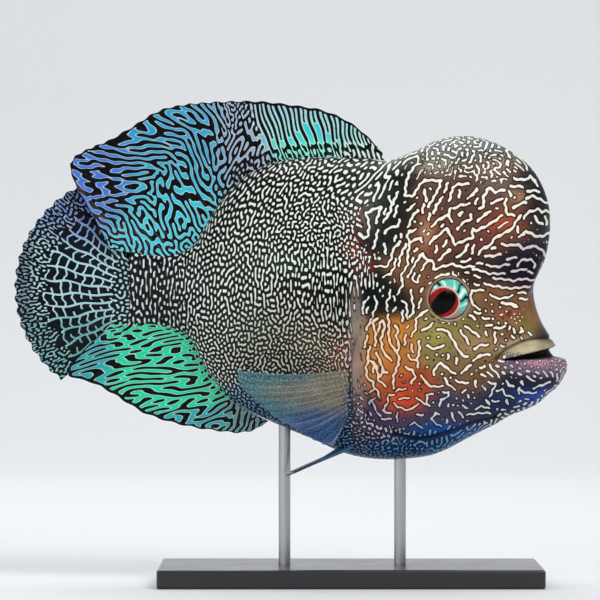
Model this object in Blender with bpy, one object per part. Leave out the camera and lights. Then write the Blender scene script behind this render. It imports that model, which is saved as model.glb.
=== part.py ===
"""A flowerhorn cichlid as a still, life-size display model on a stand.

The fish faces +X, its left side is +Y and up is +Z. The origin is on the underside of the
stand's base, below the middle of the fish. The body is lofted from ribs, each a bowed chord from
the back to the belly in the fish's middle plane with a half-width, and is divided into tail
stalk, torso, head, hump, lower jaw and gill covers by cuts of GAP. Each fin is a closed membrane
whose rays are ridges raised in both faces.
"""
import math

import bmesh
import bpy
import numpy as np
from mathutils import Matrix, Vector
from mathutils.bvhtree import BVHTree

# Lengths are in millimetres, and MM turns them into metres
MM = 0.001
GAP = 0.3

# Ribs from the tail's root to the mouth: back x and z, belly x and z, half-width, backward bow
RIBS = (
    (-92.5, 139.5, -92.5, 108.5, 3.0, 0.0),
    (-84.0, 138.0, -84.0, 108.5, 4.8, 0.0),
    (-75.0, 138.0, -75.0, 107.0, 6.8, 0.0),
    (-67.0, 141.0, -68.0, 103.5, 8.8, 0.0),
    (-61.5, 149.0, -62.5, 93.0, 11.2, 0.0),
    (-55.0, 159.5, -55.0, 82.5, 14.5, 1.0),
    (-46.0, 169.5, -45.0, 74.0, 18.0, 2.5),
    (-35.5, 175.5, -31.0, 67.0, 21.5, 5.0),
    (-21.0, 178.5, -15.5, 60.5, 24.5, 8.0),
    (-6.5, 179.0, 0.0, 54.0, 26.5, 11.5),
    (6.5, 178.5, 16.0, 52.0, 27.5, 13.0),
    (17.0, 177.5, 33.0, 53.5, 27.5, 13.0),
    (26.0, 181.0, 39.0, 55.5, 26.5, 12.0),
    (38.0, 186.5, 45.0, 58.5, 24.8, 12.5),
    (52.5, 187.5, 50.5, 61.5, 22.8, 12.0),
    (65.0, 182.5, 56.5, 64.5, 20.8, 13.0),
    (75.5, 174.5, 61.5, 67.0, 19.0, 14.0),
    (82.5, 161.5, 67.5, 70.5, 17.5, 14.0),
    (84.0, 149.0, 74.0, 73.0, 16.3, 13.0),
    (82.0, 136.5, 79.0, 75.5, 15.4, 11.0),
    (77.0, 124.0, 83.5, 79.5, 14.4, 6.5),
    (80.0, 110.5, 87.5, 83.0, 12.8, 3.5),
    (83.5, 104.5, 90.0, 87.0, 10.8, 1.5),
    (86.5, 99.5, 91.0, 89.5, 8.2, 1.0),
    (87.5, 97.5, 91.0, 92.5, 5.4, 0.0),
    (88.5, 95.5, 88.5, 95.5, 0.0, 0.0),
)
TAIL_RIB, SHOULDER_RIB = 3, 11
HEAD_FULLNESS = 0.25

# The hump is an ellipsoid that swells out of the head above the line from nape to snout notch
HUMP_CENTRE = (50.5, 154.5)
HUMP_RADII = (33.5, 21.5, 32.5)
NAPE = (17.5, 177.5)
SNOUT_NOTCH = (76.5, 123.0)

# The mouth runs back from the front of the lips to its corner
MOUTH_CORNER = (65.0, 94.0)
MOUTH_FRONT = (89.0, 97.3)
MOUTH_OPENING = 5.4
MOUTH_FLOOR_RADII = (17.0, 7.5)
LIP_HEIGHTS = (5.4, 7.0)
LIP_RAISE = 1.1
CHIN = (44.0, 57.0)

EYE_CENTRE = (40.5, 119.5)
EYE_RADII = (9.3, 9.3, 6.2)
EYE_DEPTH = 2.6
NOSTRIL = (66.0, 113.0)
NOSTRIL_RADIUS = 0.9

# Outline of a gill cover from its upper rear corner back and down, seen from the side
GILL_OUTLINE = (
    (9.0, 111.5), (3.0, 104.0), (0.5, 93.5), (0.5, 81.0), (3.0, 69.5), (10.0, 61.5), (20.0, 58.5),
    (29.0, 62.0), (34.0, 71.5), (35.5, 85.5), (33.0, 98.0), (27.0, 108.5), (17.5, 114.0),
)
GILL_RAISE = 1.2
GILL_DEPTH = 2.6

# Guide rays of each fin: place along the fin's base from 0 to 1, tip x, tip z
DORSAL_GUIDES = (
    (0.00, 13.5, 181.5), (0.08, 2.5, 192.0), (0.17, -10.5, 198.5), (0.27, -24.5, 201.0),
    (0.37, -38.0, 202.5), (0.47, -50.0, 202.5), (0.56, -61.0, 202.0), (0.64, -70.5, 201.0),
    (0.71, -80.5, 198.5), (0.77, -90.5, 192.5), (0.83, -101.5, 186.0), (0.88, -110.0, 182.5),
    (0.93, -117.0, 177.5), (0.97, -117.0, 170.0), (1.00, -109.0, 160.0),
)
DORSAL_RAYS = 28
DORSAL_BASE = (14.5, -88.0)
# Of a fin in the middle plane: half-thickness at the root, bow of its rays, lean at its rear end
DORSAL_FORM = (1.3, 0.05, -3.0)
ANAL_GUIDES = (
    (0.00, -37.0, 66.0), (0.12, -44.0, 63.0), (0.25, -53.5, 63.5), (0.38, -64.5, 65.0),
    (0.50, -75.5, 67.5), (0.62, -87.0, 71.5), (0.74, -97.5, 78.0), (0.85, -107.0, 83.5),
    (0.94, -118.5, 87.5), (1.00, -116.0, 92.5),
)
ANAL_RAYS = 15
ANAL_BASE = (-34.0, -90.0)
ANAL_FORM = (1.2, -0.04, -3.5)
# The tail fin is a round fan about the middle of its base, from steeply up to steeply down
CAUDAL_RADIUS = 48.0
CAUDAL_ANGLES = (78.0, -54.0)
CAUDAL_RAYS = 20
CAUDAL_CURL = 7.0
CAUDAL_ROOT_HALF = 2.0
# How far the tail fin's base stands off the stalk and inside its upper and lower edges
CAUDAL_BASE_OFF = 0.65
CAUDAL_BASE_INSET = 0.5
PECTORAL_GUIDES = (
    (0.00, -47.0, 90.0), (0.15, -46.5, 84.5), (0.30, -42.0, 79.5), (0.45, -35.5, 74.0),
    (0.60, -29.5, 69.0), (0.75, -22.0, 64.5), (0.88, -14.0, 60.5), (1.00, -7.5, 58.0),
)
PECTORAL_RAYS = 13
PECTORAL_BASE = ((-1.5, 90.0), (-2.0, 69.5))
PECTORAL_SPREAD = 15.0
PECTORAL_LOW_SPREAD = 0.55
PECTORAL_ROOT_HALF, PECTORAL_BOW, PECTORAL_OFF = 1.1, 0.08, 1.7
# A pelvic fin's base lies across the belly, x and y, and its guide rays end at a tip x, y and z
PELVIC_GUIDES = (
    (0.00, -26.5, -13.0, 45.5), (0.35, -24.0, -10.5, 46.5), (0.70, -19.5, -7.5, 48.5),
    (1.00, -14.5, -5.0, 50.5),
)
PELVIC_RAYS = 6
PELVIC_BASE = ((3.0, -10.5), (-4.0, -5.0))
PELVIC_ROOT_HALF, PELVIC_OFF = 0.7, 1.2
MEMBRANE, RAY_RIDGE = 0.28, 0.3
TIP_RIDGE_SHARE = 0.25
FIN_ROWS, SIDE_FIN_ROWS = 7, 6

BASE_SIZE = (160.0, 80.0, 8.0)
BASE_EDGE = 1.0
ROD_RADIUS = 2.5
ROD_PLACES = {"stand_rod_front": 21.0, "stand_rod_rear": -27.5}
ROD_IN_BASE = 5.0
ROD_IN_FISH = 10.0


def clear_scene():
    for thing in list(bpy.data.objects):
        bpy.data.objects.remove(thing, do_unlink=True)


def material(name, colour, roughness=0.4, metallic=0.0):
    made = bpy.data.materials.new(name)
    made.use_nodes = True
    shader = made.node_tree.nodes["Principled BSDF"]
    shader.inputs["Base Color"].default_value = (*colour, 1.0)
    shader.inputs["Roughness"].default_value = roughness
    shader.inputs["Metallic"].default_value = metallic
    return made


def mesh_object(name, points, faces):
    mesh = bpy.data.meshes.new(name)
    mesh.from_pydata([tuple(float(c) * MM for c in p) for p in points], [], faces)
    mesh.validate()
    thing = bpy.data.objects.new(name, mesh)
    bpy.context.scene.collection.objects.link(thing)
    return thing


def face_outward(thing):
    shape = bmesh.new()
    shape.from_mesh(thing.data)
    bmesh.ops.recalc_face_normals(shape, faces=shape.faces)
    if shape.calc_volume(signed=True) < 0.0:
        bmesh.ops.reverse_faces(shape, faces=shape.faces)
    shape.to_mesh(thing.data)
    shape.free()
    return thing


def keep_largest(thing):
    """Drops every closed surface of the mesh but the one with the most faces."""
    shape = bmesh.new()
    shape.from_mesh(thing.data)
    islands, seen = [], set()
    for start in shape.faces:
        if start in seen:
            continue
        island, waiting = [], [start]
        seen.add(start)
        while waiting:
            face = waiting.pop()
            island.append(face)
            for edge in face.edges:
                for other in edge.link_faces:
                    if other not in seen:
                        seen.add(other)
                        waiting.append(other)
        islands.append(island)
    islands.sort(key=len)
    for island in islands[:-1]:
        bmesh.ops.delete(shape, geom=island, context="FACES")
    shape.to_mesh(thing.data)
    shape.free()


def combine(target, tool, operation, keep_tool=False):
    """Applies one Boolean operation of tool on target."""
    step = target.modifiers.new(operation, "BOOLEAN")
    step.operation = operation
    step.solver = "EXACT"
    step.object = tool
    bpy.context.view_layer.update()
    graph = bpy.context.evaluated_depsgraph_get()
    target.data = bpy.data.meshes.new_from_object(target.evaluated_get(graph))
    target.modifiers.clear()
    keep_largest(target)
    if not keep_tool:
        bpy.data.objects.remove(tool, do_unlink=True)


def copy_of(thing, name):
    twin = bpy.data.objects.new(name, thing.data.copy())
    bpy.context.scene.collection.objects.link(twin)
    return twin


def mirrored(thing, name):
    twin = copy_of(thing, name)
    twin.data.transform(Matrix.Scale(-1.0, 4, (0.0, 1.0, 0.0)))
    twin.data.flip_normals()
    return twin


def finish(thing, paint):
    thing.data.materials.clear()
    thing.data.materials.append(paint)
    for face in thing.data.polygons:
        face.material_index = 0
    thing.data.shade_smooth()
    thing.data.set_sharp_from_angle(angle=math.radians(35.0))


def smooth(knots, values, at):
    """A smooth curve through the values at the knots, read at the given places."""
    knots, values, at = (np.asarray(a, dtype=float) for a in (knots, values, at))
    slopes = np.gradient(values, knots, axis=0)
    cell = np.clip(np.searchsorted(knots, at, side="right") - 1, 0, len(knots) - 2)
    step = knots[cell + 1] - knots[cell]
    t = (at - knots[cell]) / step
    if values.ndim > 1:
        step, t = step[..., None], t[..., None]
    start = (1 + 2 * t) * (1 - t) ** 2 * values[cell] + t * (1 - t) ** 2 * step * slopes[cell]
    end = t * t * (3 - 2 * t) * values[cell + 1] + t * t * (t - 1) * step * slopes[cell + 1]
    return start + end


def along(points, count):
    """Points evenly spaced on a smooth curve through the given ones."""
    points = np.asarray(points, dtype=float)
    lengths = np.linalg.norm(np.diff(points, axis=0), axis=1)
    knots = np.concatenate(([0.0], np.cumsum(lengths)))
    return smooth(knots, points, np.linspace(0.0, knots[-1], count))


RIB_TABLE = np.array(RIBS)
BACK_STEP = np.hypot(np.diff(RIB_TABLE[:, 0]), np.diff(RIB_TABLE[:, 1]))
BELLY_STEP = np.hypot(np.diff(RIB_TABLE[:, 2]), np.diff(RIB_TABLE[:, 3]))
RIB_KNOTS = np.concatenate(([0.0], np.cumsum((BACK_STEP + BELLY_STEP) / 2)))


def lip_swell(x, z):
    """How far the lips stand out above and below the mouth line."""
    along_mouth = (x - MOUTH_CORNER[0]) / (MOUTH_FRONT[0] - MOUTH_CORNER[0])
    line = MOUTH_CORNER[1] + along_mouth * (MOUTH_FRONT[1] - MOUTH_CORNER[1])
    grown = np.clip(along_mouth + 0.25, 0.0, 1.0) ** 0.5
    swell = np.zeros_like(x)
    for side, height in zip((1.0, -1.0), LIP_HEIGHTS):
        off = side * (z - line) / (height * np.maximum(grown, 0.01))
        swell += np.clip(1.0 - (2.0 * off - 1.0) ** 2, 0.0, 1.0) ** 1.5
    return LIP_RAISE * grown * swell


def body_surface(u, v):
    """Body points for rib places u and places v from back (0) to belly (1): x, half-width, z."""
    u, v = np.broadcast_arrays(np.asarray(u, dtype=float), np.asarray(v, dtype=float))
    ribs = smooth(RIB_KNOTS, RIB_TABLE[:, [0, 1, 2, 3, 5]], u)
    width = np.sqrt(np.maximum(smooth(RIB_KNOTS, RIB_TABLE[:, 4] ** 2, u), 0.0))
    down = (1.0 - np.cos(np.pi * v)) / 2
    x = ribs[..., 0] + down * (ribs[..., 2] - ribs[..., 0]) - 4 * ribs[..., 4] * down * (1 - down)
    z = ribs[..., 1] + down * (ribs[..., 3] - ribs[..., 1])
    fullness = HEAD_FULLNESS * np.clip((u - RIB_KNOTS[8]) / (RIB_KNOTS[13] - RIB_KNOTS[8]), 0, 1)
    half = width * np.sin(np.pi * v) * (1.0 + fullness * (down - 0.5))
    off = ((x - HUMP_CENTRE[0]) / HUMP_RADII[0]) ** 2 + ((z - HUMP_CENTRE[1]) / HUMP_RADII[2]) ** 2
    hump = HUMP_RADII[1] * np.sqrt(np.maximum(1.0 - off, 0.0))
    half = (half ** 8 + hump ** 8) ** 0.125
    half = half + lip_swell(x, z) * np.minimum(half / 3.0, 1.0)
    return x, half, z


def rings(places, steps):
    """Closed rings of body points, right side first, from back to belly and up the left side."""
    v = np.arange(steps + 1) / steps
    made = []
    for u in places:
        x, half, z = body_surface(u, v)
        right = np.stack([x, -half, z], axis=1)
        left = np.stack([x, half, z], axis=1)[-2:0:-1]
        made.append(np.concatenate([right, left]))
    return np.array(made)


def loft(name, places, steps, shift=(0.0, 0.0), pole=False):
    """A closed piece of the body between its first and last rings, or out to the mouth's pole."""
    stack = rings(places, steps)
    stack[0, :, 0] += shift[0]
    stack[-1, :, 0] += shift[1]
    around = 2 * steps
    points = [tuple(p) for ring in stack for p in ring]
    faces = []
    for i in range(len(stack) - 1):
        for k in range(around):
            n = (k + 1) % around
            faces.append((i * around + k, i * around + n, (i + 1) * around + n, (i + 1) * around + k))
    ends = [0] if pole else [0, (len(stack) - 1) * around]
    for first in ends:
        for k in range(steps):
            mate, next_mate = (around - k) % around, around - k - 1
            corners = (first + k, first + k + 1, first + next_mate, first + mate)
            faces.append(tuple(dict.fromkeys(corners)))
    if pole:
        tip = len(points)
        points.append((RIBS[-1][0], 0.0, RIBS[-1][1]))
        last = (len(stack) - 1) * around
        for k in range(around):
            faces.append((last + k, last + (k + 1) % around, tip))
    return face_outward(mesh_object(name, points, faces))


def prism(name, outline, half_width):
    """An outline in the fish's middle plane, given as x and z, extruded to both sides."""
    count = len(outline)
    points = [(x, side * half_width, z) for side in (-1, 1) for x, z in outline]
    faces = [tuple(range(count)), tuple(range(2 * count - 1, count - 1, -1))]
    for k in range(count):
        n = (k + 1) % count
        faces.append((k, n, count + n, count + k))
    return face_outward(mesh_object(name, points, faces))


def rod(name, x, y, bottom, top, radius, sides=16):
    """An upright round rod."""
    turn = [2 * math.pi * k / sides for k in range(sides)]
    circle = [(x + radius * math.cos(a), y + radius * math.sin(a)) for a in turn]
    points = [(*c, z) for z in (bottom, top) for c in circle]
    faces = [tuple(range(sides)), tuple(range(2 * sides - 1, sides - 1, -1))]
    for k in range(sides):
        n = (k + 1) % sides
        faces.append((k, n, sides + n, sides + k))
    return face_outward(mesh_object(name, points, faces))


def ellipsoid(name, radii, segments, ring_count):
    shape = bmesh.new()
    bmesh.ops.create_uvsphere(shape, u_segments=segments, v_segments=ring_count, radius=1.0)
    bmesh.ops.transform(shape, matrix=Matrix.Diagonal([*(r * MM for r in radii), 1.0]), verts=shape.verts)
    mesh = bpy.data.meshes.new(name)
    shape.to_mesh(mesh)
    shape.free()
    thing = bpy.data.objects.new(name, mesh)
    bpy.context.scene.collection.objects.link(thing)
    return thing


def surface_tree(thing):
    mesh = thing.data
    return BVHTree.FromPolygons([v.co / MM for v in mesh.vertices], [p.vertices for p in mesh.polygons])


def on_right_side(tree, x, z):
    """The point and outward normal of the body's right side at x and z."""
    hit, normal, _, _ = tree.ray_cast(Vector((x, -100.0, z)), Vector((0.0, 1.0, 0.0)))
    if normal.y > 0.0:
        normal = -normal
    return np.array(hit), np.array(normal)


def on_belly(tree, x, y):
    hit, normal, _, _ = tree.ray_cast(Vector((x, y, -100.0)), Vector((0.0, 0.0, 1.0)))
    if normal.z > 0.0:
        normal = -normal
    return np.array(hit), np.array(normal)


def fin(name, bases, tips, root_half, bow, rows):
    """A closed membrane between rays. A ray runs from its base to its tip and bows a little."""
    bases, tips = np.asarray(bases, dtype=float), np.asarray(tips, dtype=float)
    columns = 2 * (len(bases) - 1) + 1
    place = np.arange(columns) / 2
    bases = smooth(np.arange(len(bases)), bases, place)
    tips = smooth(np.arange(len(tips)), tips, place)
    t = np.linspace(0.0, 1.0, rows + 1)[None, :, None]
    run = tips - bases
    middle = bases + run / 2
    side = np.stack([-run[:, 2], np.zeros(columns), run[:, 0]], axis=1)
    middle = middle + bow * side
    points = (1 - t) ** 2 * bases[:, None] + 2 * t * (1 - t) * middle[:, None] + t ** 2 * tips[:, None]
    across = np.gradient(points, axis=0)
    out = np.gradient(points, axis=1)
    normals = np.cross(across, out)
    normals /= np.linalg.norm(normals, axis=2, keepdims=True)
    on_ray = (np.arange(columns) % 2 == 0)[:, None]
    fade = 1.0 - t[..., 0]
    ridge = RAY_RIDGE * (TIP_RIDGE_SHARE + (1.0 - TIP_RIDGE_SHARE) * fade)
    thick = MEMBRANE + (root_half - MEMBRANE) * fade ** 6 + on_ray * ridge
    front = points + normals * thick[..., None]
    back = points - normals * thick[..., None]
    return face_outward(slab(name, front, back))


def slab(name, front, back):
    """A closed mesh between two like grids of points, both split on the same diagonals."""
    columns, rows = front.shape[:2]
    size = columns * rows
    points = list(front.reshape(-1, 3)) + list(back.reshape(-1, 3))
    faces = []
    for i in range(columns - 1):
        for j in range(rows - 1):
            a, b, c, d = i * rows + j, (i + 1) * rows + j, (i + 1) * rows + j + 1, i * rows + j + 1
            faces += [(a, b, c), (a, c, d), (size + c, size + b, size + a), (size + d, size + c, size + a)]
    rim = [(i, 0) for i in range(columns - 1)] + [(columns - 1, j) for j in range(rows - 1)]
    rim += [(i, rows - 1) for i in range(columns - 1, 0, -1)] + [(0, j) for j in range(rows - 1, 0, -1)]
    loop = [i * rows + j for i, j in rim]
    for k, a in enumerate(loop):
        b = loop[(k + 1) % len(loop)]
        faces += [(b, a, size + a), (b, size + a, size + b)]
    return mesh_object(name, points, faces)


def ray_ends(guides, count):
    """Base places and tips of the rays, evenly spread among the guide rays."""
    table = np.array(guides)
    order = np.arange(len(guides))
    read = smooth(order, table, np.linspace(0, len(guides) - 1, count))
    return read[:, 0], read[:, 1:]


def edge_line(edge, limits, off):
    """The back's or the belly's line between two x, moved off the body, evenly spaced."""
    u = np.linspace(0.0, RIB_KNOTS[-6], 400)
    x, _, z = body_surface(u, np.full_like(u, edge))
    inside = (x <= max(limits)) & (x >= min(limits))
    line = np.stack([x, z], axis=1)[inside]
    if limits[0] > limits[1]:
        line = line[::-1]
    step = np.gradient(line, axis=0)
    step /= np.linalg.norm(step, axis=1, keepdims=True)
    normal = np.stack([step[:, 1], -step[:, 0]], axis=1)
    if (normal[:, 1].mean() > 0) != (edge < 0.5):
        normal = -normal
    line = line + normal * off
    length = np.concatenate(([0.0], np.cumsum(np.linalg.norm(np.diff(line, axis=0), axis=1))))
    return line, length / length[-1]


def midline_fin(name, edge, limits, guides, count, root_half, bow, drift):
    """A fin in the fish's middle plane, rooted along the back (edge 0) or the belly (edge 1)."""
    places, tips = ray_ends(guides, count)
    line, length = edge_line(edge, limits, GAP + 0.1)
    base_x = np.interp(places, length, line[:, 0])
    base_z = np.interp(places, length, line[:, 1])
    bases = np.stack([base_x, np.zeros(count), base_z], axis=1)
    lean = drift * np.linspace(0.0, 1.0, count) ** 2
    ends = np.stack([tips[:, 0], lean, tips[:, 1]], axis=1)
    return fin(name, bases, ends, root_half, bow, FIN_ROWS)


def caudal_fin():
    """The tail fin, a fan rooted on the end of the tail stalk, its upper lobe curled to the left."""
    places = np.linspace(0.0, 1.0, CAUDAL_RAYS)
    x = RIBS[0][0] - CAUDAL_BASE_OFF
    top, bottom = RIBS[0][1] - CAUDAL_BASE_INSET, RIBS[0][3] + CAUDAL_BASE_INSET
    down = top + places * (bottom - top)
    bases = np.stack([np.full(CAUDAL_RAYS, x), np.zeros(CAUDAL_RAYS), down], axis=1)
    turn = np.radians(CAUDAL_ANGLES[0] + places * (CAUDAL_ANGLES[1] - CAUDAL_ANGLES[0]))
    tip_x = x - CAUDAL_RADIUS * np.cos(turn)
    tip_z = (top + bottom) / 2 + CAUDAL_RADIUS * np.sin(turn)
    ends = np.stack([tip_x, CAUDAL_CURL * (1.0 - places) ** 2, tip_z], axis=1)
    return fin("caudal_fin", bases, ends, CAUDAL_ROOT_HALF, 0.0, FIN_ROWS)


def pectoral_fin(tree):
    places, tips = ray_ends(PECTORAL_GUIDES, PECTORAL_RAYS)
    (top_x, top_z), (low_x, low_z) = PECTORAL_BASE
    bases, ends = [], []
    for place, tip in zip(places, tips):
        x, z = top_x + place * (low_x - top_x), top_z + place * (low_z - top_z)
        foot, normal = on_right_side(tree, x, z)
        foot = foot + normal * PECTORAL_OFF
        bases.append(foot)
        spread = PECTORAL_SPREAD * (1.0 + (PECTORAL_LOW_SPREAD - 1.0) * place)
        ends.append((tip[0], foot[1] - spread, tip[1]))
    return fin("pectoral_fin_right", bases, ends, PECTORAL_ROOT_HALF, PECTORAL_BOW, SIDE_FIN_ROWS)


def pelvic_fin(tree):
    places, tips = ray_ends(PELVIC_GUIDES, PELVIC_RAYS)
    (front_x, front_y), (rear_x, rear_y) = PELVIC_BASE
    bases, ends = [], []
    for place, tip in zip(places, tips):
        x, y = front_x + place * (rear_x - front_x), front_y + place * (rear_y - front_y)
        foot, normal = on_belly(tree, x, y)
        bases.append(foot + normal * PELVIC_OFF)
        ends.append(tip)
    return fin("pelvic_fin_right", bases, ends, PELVIC_ROOT_HALF, 0.0, SIDE_FIN_ROWS)


def gill_plate(name, tree, grow, raised, deep):
    """A gill cover: a plate that follows the body's side inside the outline."""
    centre = np.array(GILL_OUTLINE).mean(axis=0)
    edge = along([*GILL_OUTLINE, GILL_OUTLINE[0]], 27)[:-1]
    away = edge - centre
    away *= 1.0 + grow / np.linalg.norm(away, axis=1, keepdims=True)
    shares = (1.0, 0.93, 0.7, 0.4)
    heights = (0.55, 0.9, 1.0, 1.0)
    points, faces = [], []
    for inner in (False, True):
        for share, height in zip(shares, heights):
            for x, z in centre + away * share:
                foot, _ = on_right_side(tree, x, z)
                lift = -deep if inner else raised * height
                points.append((x, foot[1] - lift, z))
        foot, _ = on_right_side(tree, *centre)
        points.append((centre[0], foot[1] - (-deep if inner else raised), centre[1]))
    count, layer = len(edge), len(edge) * len(shares) + 1
    for side in range(2):
        first = side * layer
        for ring in range(len(shares) - 1):
            for k in range(count):
                n = (k + 1) % count
                a, b = first + ring * count, first + (ring + 1) * count
                faces += [(a + k, a + n, b + n), (a + k, b + n, b + k)]
        last, middle = first + (len(shares) - 1) * count, first + layer - 1
        faces += [(last + k, last + (k + 1) % count, middle) for k in range(count)]
    for k in range(count):
        n = (k + 1) % count
        faces.append((k, n, layer + n, layer + k))
    return face_outward(mesh_object(name, points, faces))


def above_line(start, end, off, reach=120.0):
    """A prism that fills the side above and in front of the line from start to end."""
    start, end = np.array(start), np.array(end)
    run = (end - start) / np.linalg.norm(end - start)
    normal = np.array([-run[1], run[0]])
    a, b = start - run * reach + normal * off, end + run * reach + normal * off
    return [tuple(a), tuple(b), tuple(b + normal * reach), tuple(a + normal * reach)]


def mouth_gap():
    """The wedge between the lips, kept clear of the floor of the mouth inside."""
    corner, front = MOUTH_CORNER, MOUTH_FRONT
    reach = front[0] + 8.0
    half = MOUTH_OPENING / 2 * (reach - corner[0]) / (front[0] - corner[0])
    middle = front[1]
    outline = [(corner[0] - 1.0, corner[1]), (reach, middle - half), (reach, middle + half)]
    gap = prism("mouth_gap", outline, 40.0)
    core = rod("mouth_core", 0.0, 0.0, middle - 20.0, middle + 20.0, 1.0, sides=24)
    stretch = Matrix.Diagonal([*MOUTH_FLOOR_RADII, 1.0, 1.0])
    core.data.transform(Matrix.Translation((corner[0] * MM, 0.0, 0.0)) @ stretch)
    combine(gap, core, "DIFFERENCE")
    return gap


def jaw_outline(off):
    corner = (MOUTH_CORNER[0] - 1.0 - off, MOUTH_CORNER[1] + off)
    front = (MOUTH_FRONT[0] + 20.0, MOUTH_FRONT[1] - MOUTH_OPENING / 2 * 1.8 + off)
    return [corner, front, (front[0], 30.0), (CHIN[0] - 4.0 - off, 40.0), (CHIN[0] - off, CHIN[1])]


def divide_head(head):
    """Cuts the hump and the lower jaw off the head and opens the mouth between the lips."""
    line = (NAPE, SNOUT_NOTCH)
    hump = copy_of(head, "nuchal_hump")
    combine(hump, prism("hump_side", above_line(*line, GAP / 2), 60.0), "INTERSECT")
    combine(head, prism("hump_clear", above_line(*line, -GAP / 2), 60.0), "DIFFERENCE")
    jaw = copy_of(head, "lower_jaw")
    combine(jaw, prism("jaw_side", jaw_outline(0.0), 60.0), "INTERSECT")
    combine(head, prism("jaw_clear", jaw_outline(GAP), 60.0), "DIFFERENCE")
    gap = mouth_gap()
    combine(jaw, gap, "DIFFERENCE", keep_tool=True)
    combine(head, gap, "DIFFERENCE")
    return hump, jaw


def eye(tree):
    """The right eye, a flattened ball turned to face square out of the head."""
    foot, normal = on_right_side(tree, *EYE_CENTRE)
    turn = Vector(normal).to_track_quat("Z", "Y").to_matrix().to_4x4()
    place = Matrix.Translation(Vector((foot - normal * EYE_DEPTH) * MM)) @ turn
    ball = ellipsoid("eye_right", EYE_RADII, 20, 10)
    ball.data.transform(place)
    socket = ellipsoid("socket_right", [r + GAP for r in EYE_RADII], 20, 10)
    socket.data.transform(place)
    return ball, socket


def nostril(tree):
    foot, normal = on_right_side(tree, *NOSTRIL)
    turn = Vector(normal).to_track_quat("Z", "Y").to_matrix().to_4x4()
    pit = ellipsoid("nostril_right", (NOSTRIL_RADIUS, NOSTRIL_RADIUS * 1.3, 1.6), 10, 6)
    pit.data.transform(Matrix.Translation(Vector(foot) * MM) @ turn)
    return pit


def cut_both_sides(thing, right_tool, name):
    left_tool = mirrored(right_tool, name)
    combine(thing, right_tool, "DIFFERENCE", keep_tool=True)
    combine(thing, left_tool, "DIFFERENCE")


def stand(tree, torso):
    """A flat base and two rods in blind sockets in the base and the torso."""
    bpy.ops.mesh.primitive_cube_add(size=MM)
    base = bpy.context.object
    base.name = "stand_base"
    base.data.transform(Matrix.Diagonal([*BASE_SIZE, 1.0]))
    base.data.transform(Matrix.Translation((0.0, 0.0, BASE_SIZE[2] / 2 * MM)))
    edge = base.modifiers.new("edge", "BEVEL")
    edge.width = BASE_EDGE * MM
    edge.segments = 2
    rods = []
    for name, x in ROD_PLACES.items():
        foot, _ = on_belly(tree, x, 0.01)
        bottom, top = BASE_SIZE[2] - ROD_IN_BASE, foot[2] + ROD_IN_FISH
        rods.append(rod(name, x, 0.0, bottom, top, ROD_RADIUS))
        hole = rod("hole", x, 0.0, bottom - GAP, bottom + 2 * ROD_IN_BASE, ROD_RADIUS + GAP)
        combine(base, hole, "DIFFERENCE")
        combine(torso, rod("socket", x, 0.0, foot[2] - 20.0, top + GAP, ROD_RADIUS + GAP), "DIFFERENCE")
    return base, rods


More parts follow.
